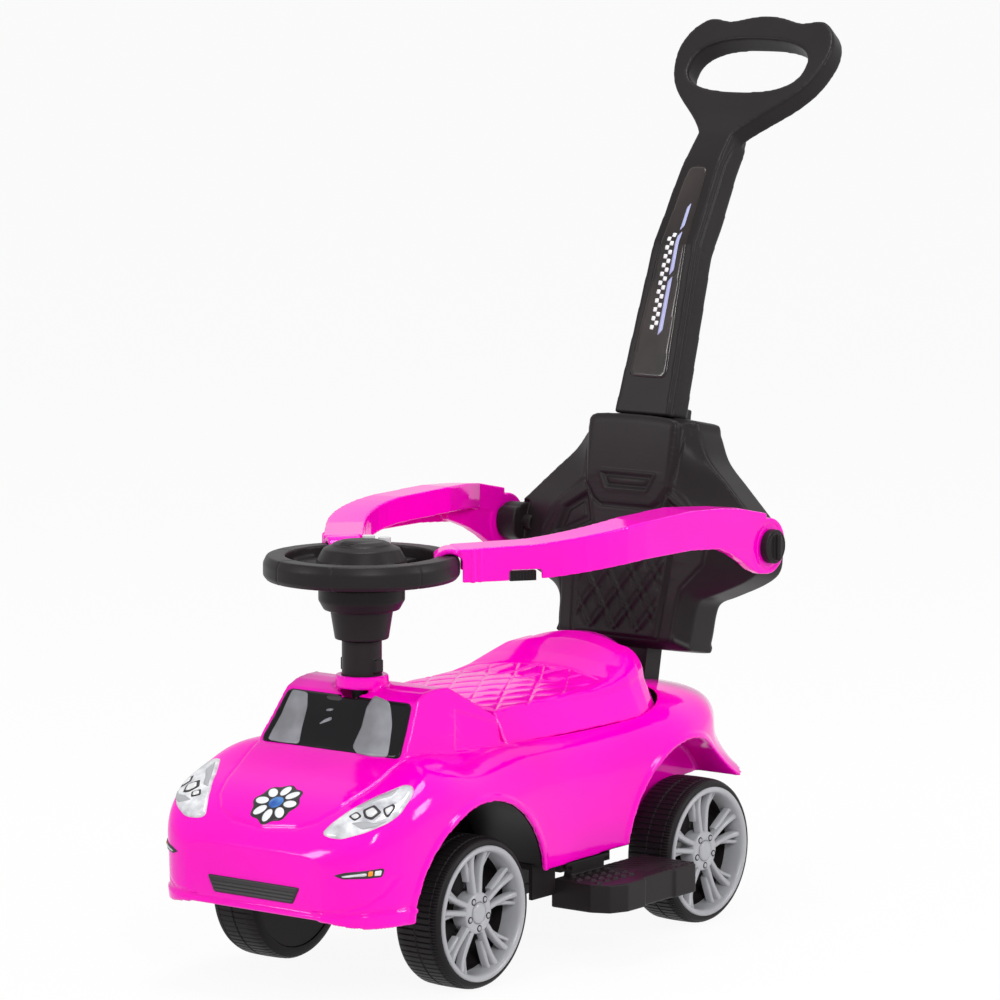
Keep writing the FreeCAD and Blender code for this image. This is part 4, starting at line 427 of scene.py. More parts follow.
def laid(name, outline, toward, height, material, corner=2.0, edge=1.2, pitch=1.5,
         lift=None, base=0.3, tree=None):
    """A raised patch; outline is (right, up) millimetres from the origin, seen along toward."""
    toward, right, up = view_axes(toward)
    tree = tree or BODY_TREE
    ring = rounded(outline, corner, pitch)
    count = len(ring)
    xs, ys = np.array(ring).T
    gx, gy = np.meshgrid(np.arange(xs.min(), xs.max(), pitch), np.arange(ys.min(), ys.max(), pitch))
    keep = inside(gx, gy, ring) > GRID_MARGIN * pitch
    flat = [Vector(p) for p in ring] + [Vector(p) for p in zip(gx[keep], gy[keep])]
    loop = [(k, (k + 1) % count) for k in range(count)]
    spots, _, tris, _, _, _ = delaunay_2d_cdt(flat, loop, [list(range(count))], FILL_INSIDE, MERGE)
    px, py = np.array([tuple(p) for p in spots]).T
    depth = np.maximum(inside(px, py, ring), 0)
    tall = base + height * np.sqrt(np.clip(depth / edge, 0, 1))
    if lift is not None:
        tall = tall + lift(px, py, depth)
    top, low = [], []
    for a, b, rise in zip(px, py, tall):
        spot = right * a + up * b
        hit, normal, _, _ = tree.ray_cast((spot + toward * RAY_FROM) * MM, -toward)
        if hit is None:
            hit, normal, _, _ = tree.find_nearest((spot + toward * NEAR_FROM) * MM)
        top.append(tuple(hit / MM + normal * float(rise)))
        low.append(tuple(hit / MM - normal * SUNK))
    sides = {(a, b) for tri in tris for a, b in zip(tri, tri[1:] + tri[:1])}
    n = len(spots)
    faces = [tuple(t) for t in tris] + [tuple(n + i for i in reversed(t)) for t in tris]
    faces += [(n + a, n + b, b, a) for a, b in sides if (b, a) not in sides]
    return add_object(name, top + low, faces, material)


# Front of the body: lamps and screen marks as seen from the front left, grille, windscreen, a plain rosette
LAMP_VIEW = (0.77, 0.61, 0.189)
LAMP_BED = [(-202.6, 94), (-193, 103), (-177, 114.5), (-154, 126.5), (-126, 138), (-118, 136), (-119, 128),
            (-131, 110), (-142.5, 102), (-163, 93.5), (-186, 87.5), (-199, 90)]
# Cell outlines: each is filled dark as painted shade inside the headlamp, with a chrome bulb in it.
LAMP_CELLS = (
    [(-178, 107.5), (-170, 112), (-165, 107.5), (-172, 103)],
    [(-165, 113), (-154, 118), (-147.5, 111), (-156.5, 104), (-163, 106)],
    [(-146.5, 114.5), (-136.5, 119), (-135, 115), (-142.5, 106), (-145.5, 108.5)],
)
# Painted shade: a grey patch below the cells, where the inside of the headlamp falls in shade.
LAMP_PAINTED_SHADE = [(-175.5, 101.5), (-163, 103), (-154, 101.5), (-142.5, 103.5), (-154, 98), (-165.5, 95.5)]
# Painted reflection: a grey band across the upper headlamp that stands in for its bright reflection.
LAMP_PAINTED_REFLECTION = [(-172, 115.5), (-154, 124.5), (-130, 134), (-138, 126), (-154, 121), (-165, 115.5)]
FOG_VIEW = (0.766, 0.611, 0.201)
FOG_FRAME = [(-193.4, 50), (-183, 52.5), (-164.5, 54), (-148, 56.5), (-146.5, 55), (-149, 48.5), (-162, 47),
             (-185, 46.5)]
FOG_LINE = [(-188, 49.5), (-164.5, 52.3), (-163, 52), (-163.2, 49.3), (-184, 48)]
FOG_AMBER = [(-161.8, 53.5), (-157.3, 54), (-157.7, 49.5), (-162.2, 49)]
FOG_END = [(-155.9, 54.2), (-149, 55), (-150.4, 50), (-156.4, 49.5)]
BULB_SHARE = 0.7
GRILLE_EDGE = [(-55, 115.5), (55, 115.5), (47, 99.5), (-47, 99.5)]
RIB_FOOT, RIB_PITCH, RIB_RISE = 101.5, 3.3, 0.8
SCREEN_VIEW = (51, 0, 32)
SCREEN = [(-84, 19.5), (84, 19.5), (74.5, 76.5), (-74.5, 76.5)]
STREAK_VIEW = (0.768, 0.617, 0.172)
STREAKS = (
    [(-232, 233), (-217.5, 230), (-218, 216), (-223.5, 195), (-226, 181), (-244, 183), (-256, 185),
     (-252, 193), (-243, 209), (-237, 223)],
    [(-155, 226), (-141, 220.5), (-139.5, 213), (-138.5, 199), (-141, 180.5), (-143, 169), (-160, 170),
     (-174, 173), (-175.5, 179), (-167, 197), (-162, 216)],
)
SPARKS = (
    [(-208, 199), (-202.5, 204), (-194.5, 207), (-195, 203.5)],
    [(-201.5, 212), (-198.5, 214.5), (-192.5, 214.5), (-194.5, 212)],
)
SCREEN_SLOT = [(-199, 227), (-187, 226.5), (-184.5, 224.5), (-186.5, 221.5), (-197, 222.5), (-200, 225)]
BADGE_VIEW = (59, 0, 100)
BADGE_AT = np.array([0.0, -247.0])
BADGE_REACH, BADGE_SCALLOP = 25.0, 1.5
BADGE_MIDDLE = 7.5
PETALS = 8
PETAL_AT, PETAL_LONG, PETAL_WIDE = 16.5, 7.2, 4.6


def flipped(outline, side):
    """The outline on one side of the part, from the outline on the left one."""
    return [(side * a, b) for a, b in outline]


def toward_side(view, side):
    """The view of one side of the part, from the view of the left one."""
    return view[0], side * view[1], view[2]


def shrunk(outline, share):
    """The outline drawn in toward its middle."""
    middle = np.mean(outline, axis=0)
    return [tuple(middle + (np.array(p) - middle) * share) for p in outline]


def lamps(side_name, side):
    view = toward_side(LAMP_VIEW, side)
    bed = laid(f"lamp_bed_{side_name}", flipped(LAMP_BED, side), view, 1.6, CLEAR, corner=5, edge=2.5)
    piece(bed, "car", "lamp_clear", f"headlamp_{side_name}")
    # Painted shade: a grey patch below the cells and dark fills in the cells.
    dark = [laid(f"lamp_shade_{side_name}", flipped(LAMP_PAINTED_SHADE, side), view, 0.2, SILVER,
                 edge=0.6, pitch=1.2, base=1.9)]
    # The painted reflection band goes in one piece with the chrome bulbs.
    bulbs_and_reflection = [laid(f"lamp_bar_{side_name}", flipped(LAMP_PAINTED_REFLECTION, side), view, 0.5, SILVER,
                  pitch=1.2, base=1.9)]
    # Each cell gets a dark fill of painted shade under its chrome bulb.
    for k, outline in enumerate(LAMP_CELLS):
        cell = flipped(outline, side)
        dark.append(laid(f"lamp_cell_{side_name}_{k}", cell, view, 0.4, GRILLE,
                         edge=0.8, pitch=1.0, base=2.0))
        bulbs_and_reflection.append(laid(f"lamp_bulb_{side_name}_{k}", shrunk(cell, BULB_SHARE), view, 1.2, CHROME,
                          edge=1.5, pitch=0.8, base=2.2))
    # The painted shade patch and the dark cell fills, as one piece.
    piece(joined(f"lamp_cells_{side_name}", dark), "car", "screen_black")
    piece(joined(f"lamp_bulbs_{side_name}", bulbs_and_reflection), "car", "button_chrome")

    view = toward_side(FOG_VIEW, side)
    surround = laid(f"fog_frame_{side_name}", flipped(FOG_FRAME, side), view, 0.8, GRILLE,
                    corner=1.5, edge=0.8, pitch=1.0)
    amber = laid(f"fog_amber_{side_name}", flipped(FOG_AMBER, side), view, 0.8, AMBER,
                 corner=0.8, pitch=0.8, base=1.0)
    clear = [laid(f"fog_{k}_{side_name}", flipped(outline, side), view, 0.7, CLEAR,
                  corner=0.8, pitch=0.8, base=1.0)
             for k, outline in enumerate((FOG_LINE, FOG_END))]
    piece(surround, "car", "grille_dark", f"fog_lamp_{side_name}")
    piece(amber, "car", "fog_amber")
    piece(joined(f"fog_clear_{side_name}", clear), "car", "lamp_clear")


def grille():
    """Four level ribs under a lip."""
    def ribs(py, pz, depth):
        wave = np.cos((pz - RIB_FOOT) * math.tau / RIB_PITCH)
        return RIB_RISE * step(depth, 0.6, 1.6) * wave * (1 - step(pz, 111, 112))

    obj = laid("grille", GRILLE_EDGE, (1, 0, 0), 1.4, GRILLE, corner=2.5, edge=1.0, pitch=0.8, lift=ribs)
    return piece(obj, "car", "grille_dark", "grille_panel")


def windscreen():
    """Dark glass with pale reflections and a slot printed on it."""
    screen = laid("windscreen", SCREEN, SCREEN_VIEW, 1.6, GLASS, corner=7, edge=1.6, pitch=2.0)
    piece(screen, "car", "screen_black", "windscreen_panel")
    marks = [laid(f"streak_{k}", outline, STREAK_VIEW, 0.1, STREAK, corner=3, edge=0.6, base=1.95)
             for k, outline in enumerate(STREAKS + SPARKS)]
    marks.append(laid("screen_slot", SCREEN_SLOT, STREAK_VIEW, 0.1, GRILLE,
                      edge=0.6, pitch=1.0, base=1.95))
    piece(joined("screen_marks", marks), "car", "screen_black")


def badge():
    """A plain rosette: pale petals round a blue middle, on a dark scalloped bed."""
    turn = np.linspace(0, math.tau, 96, endpoint=False)
    circle = np.column_stack([np.cos(turn), np.sin(turn)])
    lobes = BADGE_REACH + BADGE_SCALLOP * np.cos(PETALS * turn)
    bed = laid("badge_bed", BADGE_AT + circle * lobes[:, None], BADGE_VIEW, 0.3, INK,
               corner=0.5, edge=0.5)
    pale = []
    for k in range(PETALS):
        along = np.array([math.cos(math.tau * k / PETALS), math.sin(math.tau * k / PETALS)])
        across = np.array([-along[1], along[0]])
        oval = circle * (PETAL_LONG, PETAL_WIDE)
        petal = BADGE_AT + along * PETAL_AT + oval @ np.array([along, across])
        pale.append(laid(f"petal_{k}", petal, BADGE_VIEW, 0.25, PALE,
                         corner=0.3, edge=1.5, pitch=1.0, base=0.65))
    middle = laid("badge_middle", BADGE_AT + circle * BADGE_MIDDLE, BADGE_VIEW, 0.8, BLUE,
                  corner=0.3, edge=5.0, pitch=1.0, base=0.65)
    piece(bed, "car", "panel_print")
    piece(joined("badge_petals", pale), "car", "panel_print")
    piece(middle, "car", "panel_print")


for SIDE_NAME, SIDE in SIDES:
    lamps(SIDE_NAME, SIDE)
grille()
windscreen()
badge()


# Seat lid: rounded skin with a quilted front and a smooth raised rear
QUILT_PITCH = 32.0
QUILT_SLOPE = 0.6
QUILT_PHASE = 24.0
QUILT_CROWN = 0.4
SEAT_PANEL = [(92, -84), (92, 84), (40, 88), (-40, 84), (-78, 76), (-88, 40), (-90, 0), (-88, -40),
              (-78, -76), (-40, -84), (40, -88)]
PANEL_GROOVE = 0.8


def seat():
    obj = soften("seat", ["seat_lid"], PINK, voxel=1.4, rounds=9)
    points, normals = points_of(obj), normals_of(obj)
    x, y, z = points.T
    along = x - MID_X
    top = step(normals[:, 2], 0.55, 0.8) * step(z, 232, 238)
    edge = inside(along, y, SEAT_PANEL)
    panel = top * step(edge, 0.0, 3.0)
    groove = np.zeros_like(x)
    crown = np.ones_like(x)
    for sign in (1, -1):
        phase = (sign * y - QUILT_SLOPE * along - QUILT_PHASE) / QUILT_PITCH
        off = np.abs(phase - np.round(phase)) * QUILT_PITCH * math.cos(math.atan(QUILT_SLOPE))
        groove = np.maximum(groove, ridge(off, 2.4))
        crown *= step(off, 0.0, 12.0)
    push = panel * (QUILT_CROWN * crown - groove) - top * PANEL_GROOVE * ridge(edge, 2.4)
    set_points(obj, points + normals * push[:, None])
    return piece(thin(obj, share=0.5), "seat_lid", "body_pink", "seat_lid")


seat()


# Wheels: ribbed tyre, silver double spokes, black barrel
TREAD_RIBS = 76
RIB_STEPS = 6
TREAD_RADIUS, SHOULDER = 70.5, 18.0
RIB_DEPTH, TOOTH_DEPTH, TOOTH_STEPS = 1.2, 1.3, 3
SPOKES = 5
TYRE_PROFILE = (
    (60.5, -25), (66, -25.2), (70, -23.5), (71.8, -20), (72.3, -12), (72.5, -1.4), (71.5, -0.6), (71.5, 0.6),
    (72.5, 1.4), (72.3, 12), (72.1, 16), (71.3, 16.6), (71.3, 17.6), (71.9, 18.2), (71.3, 20.6), (70.0, 23.4),
    (68.2, 25.2), (66.2, 25.6), (64.8, 25.2), (64.2, 24.2), (60.5, 24.2))
RING_PROFILE = (
    (64.3, 24), (64.5, 25.8), (63.6, 26.9), (62, 27.2), (60.2, 26.6), (58.8, 25), (58.0, 22), (57.4, 14),
    (57.2, 4), (60.2, 4), (60.4, 20), (62, 23))
BARREL_PROFILE = (
    (59.8, 5), (59.8, -24), (14, -24), (14, -6), (24, -8), (40, -12), (52, -12), (56.4, -6), (57.0, 5))
HUB_PROFILE = (
    (3, 4), (19.5, 4), (19.8, 18.6), (19.2, 19.8), (17.5, 20.4), (12.0, 20.6), (10.6, 20.0), (10.2, 19.0),
    (3, 19))
CAP_PROFILE = ((0.3, 18.5), (9.9, 18.5), (10.0, 20.6), (9.2, 21.6), (6.0, 22.2), (0.3, 22.5))
BOLT_RADIUS = 14.6
BOLT_PROFILE = ((0.2, 19.5), (2.2, 19.5), (2.2, 21.0), (1.6, 21.5), (0.2, 21.6))
SEAT_PROFILE = ((0.2, 19.8), (3.3, 19.8), (3.3, 20.8), (2.2, 20.75), (0.2, 20.75))
MAIN_BAR = ((14, 3.4, 20.2, 3.0), (24, 4.6, 19.4, 2.7), (40, 6.8, 18.8, 2.6), (52, 8.9, 20.4, 2.9),
            (59.5, 10.6, 23.0, 3.6))
SIDE_BAR = ((30, 6.2, 15.0, 3.4), (40, 10.2, 15.6, 3.0), (50, 15.6, 17.6, 2.3), (58.6, 20.2, 20.8, 2.6))
BARREL_RIB = ((20, 0, -6.5, 2.4), (38, 0, -9.5, 2.4), (54, 0, -9.0, 2.4))
MAIN_DEPTH, SIDE_DEPTH, RIB_BACK = 8.0, 7.0, 6.0
SPOKE_STATIONS = 14


def loft(name, rings, material):
    """A skin through rings of points, with capped ends."""
    count = len(rings[0])
    verts = [point for ring in rings for point in ring]
    faces = []
    for k in range(len(rings) - 1):
        for i in range(count):
            j = (i + 1) % count
            faces.append((k * count + i, k * count + j, (k + 1) * count + j, (k + 1) * count + i))
    last = (len(rings) - 1) * count
    faces.append(tuple(range(count)))
    faces.append(tuple(last + i for i in range(count)))
    return add_object(name, verts, faces, material)


def tread(r, w, k):
    """Cross grooves over the tread and finer teeth on the outer shoulder."""
    if r < TREAD_RADIUS:
        return r
    if w > SHOULDER:
        return r - TOOTH_DEPTH if k % TOOTH_STEPS == 0 else r
    return r - RIB_DEPTH if k % RIB_STEPS == 0 else r


def spoke_bar(name, stations, sign, angle, depth, place, material=SILVER):
    """A bar from the hub outward, with a crowned face; stations hold (r, aside, face, half)."""
    rings = []
    for r, aside, face, half in curve(stations, SPOKE_STATIONS):
        section = ((-half, -depth), (-half, -1.6), (-0.55 * half, -0.2), (0, 0), (0.55 * half, -0.2),
                   (half, -1.6), (half, -depth))
        ring = []
        for across, drop in section:
            t = sign * aside + across
            ring.append(place(r * math.cos(angle) - t * math.sin(angle), face + drop,
                              r * math.sin(angle) + t * math.cos(angle)))
        rings.append(ring)
    return loft(name, rings, material)


def wheel(end, x, name, side):
    """One wheel with its tyre, rim, barrel and cap."""
    def place(a, w, b):
        return x + a, side * (WHEEL_MID + w), AXLE_Z + b

    def beside(a, b):
        return lambda across, w, up: place(a + across, w, b + up)

    body_name = f"wheel_{end}_{name}"
    tyre = turned(f"tyre_{end}_{name}", TYRE_PROFILE, TYRE, place, TREAD_RIBS * RIB_STEPS, tread)
    piece(crisp(tyre, 38), body_name, "tyre_black", f"tyre_{end}_{name}")
    silver = [crisp(turned("ring", RING_PROFILE, SILVER, place, 120), 50),
              crisp(turned("hub", HUB_PROFILE, SILVER, place, 60), 50)]
    black = [crisp(turned("barrel", BARREL_PROFILE, BLACK, place, 90), 40)]
    for k in range(SPOKES):
        angle = math.radians(90) + math.tau * k / SPOKES
        for sign in (1, -1):
            silver.append(crisp(spoke_bar("main_bar", MAIN_BAR, sign, angle, MAIN_DEPTH, place), 50))
            silver.append(crisp(spoke_bar("side_bar", SIDE_BAR, sign, angle, SIDE_DEPTH, place), 50))
        turn = angle + math.pi / SPOKES
        bolt_at = beside(BOLT_RADIUS * math.cos(turn), BOLT_RADIUS * math.sin(turn))
        silver.append(turned("bolt", BOLT_PROFILE, SILVER, bolt_at, 20))
        black.append(turned("bolt_seat", SEAT_PROFILE, BLACK, bolt_at, 24))
        black.append(spoke_bar("rib", BARREL_RIB, 1, turn, RIB_BACK, place, BLACK))
    piece(joined(f"rim_{end}_{name}", silver), body_name, "rim_silver", f"rim_{end}_{name}")
    piece(joined(f"barrel_{end}_{name}", black), body_name, "black_plastic")
    cap = crisp(turned(f"cap_{end}_{name}", CAP_PROFILE, SILVER, place, 48), 50)
    piece(cap, body_name, "rim_silver", f"hub_cap_{end}_{name}")


for END, END_X in (("front", FRONT), ("rear", REAR)):
    for SIDE_NAME, SIDE in SIDES:
        wheel(END, END_X, SIDE_NAME, SIDE)


# Mouldings that follow their CAD forms, with rounded edges
def shaped(name, nodes, material, voxel, rounds, share, sculpt=None, extra=()):
    """A softened skin over CAD nodes; sculpt gives each point's move, along its normal or as a vector."""
    obj = soften(name, nodes, material, voxel, rounds, extra)
    if sculpt:
        points, normals = points_of(obj), normals_of(obj)
        move = sculpt(points, normals)
        set_points(obj, points + (normals * move[:, None] if move.ndim == 1 else move))
    return thin(obj, share)


def moulding(name, nodes, body_name, slot, material, voxel, rounds, share, sculpt=None, extra=()):
    return piece(shaped(name, nodes, material, voxel, rounds, share, sculpt, extra), body_name, slot, *nodes)


def extruded(name, outline, place, low, high):
    """A closed outline (a, b) between two depths; place maps (a, b, depth) to the row frame."""
    count = len(outline)
    verts = [place(a, b, depth) for depth in (low, high) for a, b in outline]
    faces = [tuple(range(count)), tuple(range(2 * count - 1, count - 1, -1))]
    faces += [(k, (k + 1) % count, count + (k + 1) % count, count + k) for k in range(count)]
    return add_object(name, verts, faces, BLACK)


# Steering wheel, its hub dome, shroud and column sleeve
SEAM_ANGLES = (20, 75, 118, 155, 205, 242, 285, 340)
RIM_INNER = 70.0
RIM_FOLD = 388.0
SEAM_DEPTH = 0.5
SLOTS, SLOT_FIRST, SLOT_PITCH, SLOT_DEPTH = 4, COLUMN + 14, 3.6, 1.4
COLLAR_TOP = 290.0
SLEEVE_DRAW = 0.5


def wheel_marks(points, normals):
    """Fine seams across the rim, and a shallower underside."""
    x, y, z = points.T
    reach = np.hypot(x - COLUMN, y)
    angle = np.degrees(np.arctan2(y, x - COLUMN)) % 360
    rim = step(reach, RIM_INNER, RIM_INNER + 4)
    push = np.zeros_like(x)
    for seam in SEAM_ANGLES:
        off = np.radians((angle - seam + 180) % 360 - 180) * reach
        push -= SEAM_DEPTH * ridge(off, 1.6) * rim
    move = normals * push[:, None]
    move[:, 2] += 0.35 * rim * np.maximum(RIM_FOLD - z, 0)
    return move


def dome_marks(points, normals):
    """Sound slots in the front of the dome and a raised middle."""
    x, y, z = points.T
    top = step(normals[:, 2], 0.5, 0.8)
    push = 0.8 * top * (1 - step(np.hypot(x - COLUMN, y), 26, 29))
    for k in range(SLOTS):
        place = SLOT_FIRST + SLOT_PITCH * k
        push -= SLOT_DEPTH * top * ridge(x - place, 1.5) * (1 - step(np.abs(y), 9 - k, 10.5 - k))
    return push


def sleeve_marks(points, normals):
    """The sleeve narrows inside the body's collar."""
    x, y, z = points.T
    inside_collar = 1 - step(z, COLLAR_TOP - 8, COLLAR_TOP - 5)
    move = np.zeros_like(points)
    move[:, 0] = -SLEEVE_DRAW * (x - COLUMN) * inside_collar
    move[:, 1] = -SLEEVE_DRAW * y * inside_collar
    return move


moulding("steering_wheel", ["steering_wheel"], "steering", "black_plastic", BLACK,
         voxel=1.2, rounds=12, share=0.5, sculpt=wheel_marks)
moulding("hub_dome", ["steering_hub_cover"], "steering", "black_plastic", BLACK,
         voxel=0.9, rounds=6, share=0.5, sculpt=dome_marks)
moulding("shroud", ["steering_shroud"], "steering", "black_plastic", BLACK,
         voxel=1.0, rounds=5, share=0.5)
moulding("sleeve", ["column_sleeve"], "car", "black_plastic", BLACK,
         voxel=0.8, rounds=3, share=0.5, sculpt=sleeve_marks)


# Guard arms: rounded rails with a double bead near the wheel's rim, grooved latches and ridged knobs
ARM_TIP = (146.0 + MID_X, 89.0)
ARM_HEADING = math.radians(37)
PIVOT = (-241.5 + MID_X, 375.0)
LATCH_RIB = 3.2
ARM_ROOT = [(-4, 347), (14, 348.5), (28, 354), (44, 364), (62, 373), (84, 381), (100, 386), (100, 396),
            (-4, 396)]
ROOT_INNER, ROOT_OUTER = 157.0, 167.5
SADDLE_ANGLE = math.radians(129)
SADDLE_AT = (83.0, 390.0)
SADDLE_INNER, SADDLE_OUTER = 13.5, 18.5
SADDLE_HALF = 16.0
SADDLE_ARC = np.radians(np.linspace(-8, 148, 24))


def along_arm(x, y):
    """Distance behind the arm's front tip."""
    return (ARM_TIP[0] - x) * math.cos(ARM_HEADING) + (np.abs(y) - ARM_TIP[1]) * math.sin(ARM_HEADING)


def arm_root(side):
    """Web that carries the arm's outer wall into its rounded rear end."""
    def place(along, z, away):
        return PIVOT[0] + along, side * away, z

    return extruded("arm_root", ARM_ROOT, place, ROOT_INNER, ROOT_OUTER)


def arm_saddle(side):
    """Rounded hump over the steering rim at the arm's front end."""
    outward = math.cos(SADDLE_ANGLE), math.sin(SADDLE_ANGLE)
    outline = [(SADDLE_AT[0] + r * math.cos(t), SADDLE_AT[1] + r * math.sin(t))
               for r, turns in ((SADDLE_OUTER, SADDLE_ARC), (SADDLE_INNER, SADDLE_ARC[::-1])) for t in turns]

    def place(reach, z, across):
        x = COLUMN + reach * outward[0] - across * outward[1]
        return x, side * (reach * outward[1] + across * outward[0]), z

    return extruded("arm_saddle", outline, place, -SADDLE_HALF, SADDLE_HALF)


def arm_marks(points, normals):
    """Two beads near the front tip and a groove round the knob."""
    x, y, z = points.T
    back = along_arm(x, y)
    out = step(normals[:, 1] * np.sign(y), 0.3, 0.6)
    push = out * (1.5 * ridge(back - 5, 4.0) + 1.0 * ridge(back - 12, 3.5))
    rim = np.hypot(x - PIVOT[0], z - PIVOT[1])
    return push - 0.7 * out * ridge(rim - 22, 2.4)


def latch_marks(points, normals):
    """Grooves across the grip."""
    x, y, z = points.T
    groove = 1 - np.cos(along_arm(x, y) * math.tau / LATCH_RIB)
    return -0.2 - 0.5 * groove * (1 - step(np.abs(normals[:, 2]), 0.6, 0.9))


def knob_marks(points, normals):
    """A ridge across the knob's outer face."""
    x, y, z = points.T
    out = step(normals[:, 1] * np.sign(y), 0.6, 0.85) * step(np.abs(y), 150, 152)
    reach = np.hypot(x - PIVOT[0], z - PIVOT[1])
    return out * (2.6 * ridge(x - PIVOT[0], 4.5) * (1 - step(reach, 12, 15)) - 0.6 * ridge(reach - 14, 2.0))


for SIDE_NAME, SIDE in SIDES:
    moulding(f"arm_{SIDE_NAME}", [f"guard_arm_{SIDE_NAME}"], f"guard_arm_{SIDE_NAME}", "body_pink", PINK,
             voxel=1.0, rounds=9, share=0.6, sculpt=arm_marks, extra=(arm_root(SIDE), arm_saddle(SIDE)))
    moulding(f"latch_{SIDE_NAME}", [f"arm_latch_{SIDE_NAME}"], f"arm_latch_{SIDE_NAME}", "black_plastic",
             BLACK, voxel=0.45, rounds=3, share=0.5, sculpt=latch_marks)
    moulding(f"knob_{SIDE_NAME}", [f"arm_knob_{SIDE_NAME}"], f"arm_knob_{SIDE_NAME}", "black_plastic", BLACK,
             voxel=0.7, rounds=5, share=0.5, sculpt=knob_marks)


# Backrest: padded shell with a head pad, side recesses and a quilted panel
BACK_AT = (REAR - 43.0, 262.0)
BACK_LEAN = math.radians(11)
QUILT_PITCH_Y = 29.0
QUILT_PITCH_U = 40.0
QUILT_MIDDLE = 55.0
QUILT_SQUARE = 0.81
HEAD_PAD = [(-50, 240), (-50, 161), (-39, 146), (-31, 141), (31, 141), (39, 146), (50, 161), (50, 240)]
HEAD_SLOT = [(-33, 172), (-25, 156), (25, 156), (33, 172)]
SIDE_RECESS = [(49, 151), (77, 134), (87, 107), (75, 105), (42, 121)]
QUILT = [(-58, 100), (-51, 10), (51, 10), (58, 100)]
HEAD_TILT = 7.0
PAD_EDGE = [(47, 222), (50, 165), (82, 140), (101, 108), (98, 88), (74, 62), (70, 5)]


def back_marks(points, normals):
    """Quilt, head pad with its slot, side recesses and the pad's edge, on the front face."""
    x, y, z = points.T
    dx, dz = x - BACK_AT[0], z - BACK_AT[1]
    up = dz * math.cos(BACK_LEAN) - dx * math.sin(BACK_LEAN)
    away = np.abs(y)
    front = step(normals[:, 0], 0.5, 0.8)
    panel = inside(y, up, QUILT)
    push = 2.0 * step(panel, -2.0, 1.0) - 1.2 * ridge(panel + 2.0, 2.6)
    quilt = step(panel, 4.0, 7.0)
    for sign in (1, -1):
        phase = y / QUILT_PITCH_Y + sign * (up - QUILT_MIDDLE) / QUILT_PITCH_U
        off = np.abs(phase - np.round(phase)) * QUILT_PITCH_Y * QUILT_SQUARE
        push += quilt * (1.5 * ridge(off, 2.4) - 0.9 * ridge(off - 4.2, 2.2))
    pad = inside(y, up, HEAD_PAD)
    push += 4.0 * step(pad, -2.5, 2.5) - 1.2 * ridge(pad + 3.0, 3.0)
    push += HEAD_TILT * step(up, 60, 220)
    slot = inside(y, up, HEAD_SLOT)
    push += 1.3 * ridge(slot + 1.0, 2.6) - 2.6 * step(slot, 0.5, 2.5) + 1.6 * step(slot, 4.0, 6.0)
    recess = inside(away, up, SIDE_RECESS)
    push += 1.3 * ridge(recess + 2.0, 3.0) - 4.5 * step(recess, 0.0, 3.0) + 2.2 * step(recess, 6.0, 9.0)
    push -= 1.0 * ridge(line_distance(away, up, PAD_EDGE), 2.8) * step(-pad, 3, 6)
    return front * push


BACK_EDGE = [(70, 0), (80, 9), (83, 39), (88, 52), (108, 61), (139, 76), (154, 90), (154, 112), (149, 130),
             (131, 147), (104, 171), (78, 195), (63, 222), (51, 232)]
PAD_FACE = [(62, 6), (71, 14), (73, 42), (76, 56), (86, 68), (97, 82), (105, 94), (105, 112), (99, 128),
            (87, 142), (67, 156), (54, 176), (50, 216), (41, 227)]
BACK_RINGS = ((-44, BACK_EDGE, 5), (-38, BACK_EDGE, 0), (0, BACK_EDGE, 0), (17, PAD_FACE, 0),
              (19, PAD_FACE, 4))
BACK_POINTS = 220
BOSS_RADIUS = 20.0
BOSS_FROM, BOSS_TO = 132.0, 155.0


def back_place(forward, y, up):
    """Row-frame point from the seat back's own forward, across and up."""
    lean_x, lean_z = math.sin(BACK_LEAN), math.cos(BACK_LEAN)
    return BACK_AT[0] + forward * lean_z - up * lean_x, y, BACK_AT[1] + up * lean_z + forward * lean_x


def back_form():
    """Smooth loft from the rear edge to the padded face."""
    rings = []
    for forward, half, inset in BACK_RINGS:
        ring = curve(half + [(-y, u) for y, u in reversed(half)], BACK_POINTS, closed=True)
        middle = ring.mean(axis=0)
        away = ring - middle
        reach = np.linalg.norm(away, axis=1, keepdims=True)
        ring = middle + away * (1 - inset / reach)
        rings.append([back_place(forward, y, u) for y, u in ring])
    return loft("back_form", rings, BLACK)


def pivot_boss(side):
    """Round boss that carries an arm's knob."""
    turn = np.linspace(0, math.tau, 48, endpoint=False)
    outline = [(PIVOT[0] + BOSS_RADIUS * math.cos(t), PIVOT[1] + BOSS_RADIUS * math.sin(t)) for t in turn]
    return extruded("pivot_boss", outline, lambda x, z, away: (x, side * away, z), BOSS_FROM, BOSS_TO)


def backrest():
    forms = (back_form(), pivot_boss(1), pivot_boss(-1))
    skin = shaped("backrest", [], BLACK, voxel=1.3, rounds=14, share=0.5, sculpt=back_marks, extra=forms)
    piece(skin, "car", "black_plastic", "backrest_shell", "backrest_rear_cover")


backrest()


# Push handle: rounded stem and loop, a groove along each flank and a glossy printed panel
STEM_FRONT = [(x + MID_X, z) for x, z in ((-257.5, 497), (-313.5, 664), (-364, 746), (-389.1, 771.3))]
STEM_BEND = (664.0, 738.0, 795.0)
BEND_SHIFT = 7.0
GROOVE_INSET, GROOVE_DEPTH = 10.0, 1.6
GROOVE_FOOT, GROOVE_HEAD = (490, 500), (745, 765)
PANEL_VIEW = (0.9, 0, 0.43)
PANEL = [(-23.5, 563), (23.5, 563), (11.5, 790), (-11.5, 790)]
CHECK = 4.6
CHECK_ROWS = 22
CHECK_FOOT, CHECK_LEFT = 612.0, -8.0
PANEL_BARS = ([(3, 606), (8, 612), (7.5, 668), (3, 662)], [(3, 668), (7.5, 674), (7, 716), (3, 710)],
              [(3, 716), (7, 722), (6.5, 748), (3, 742)])


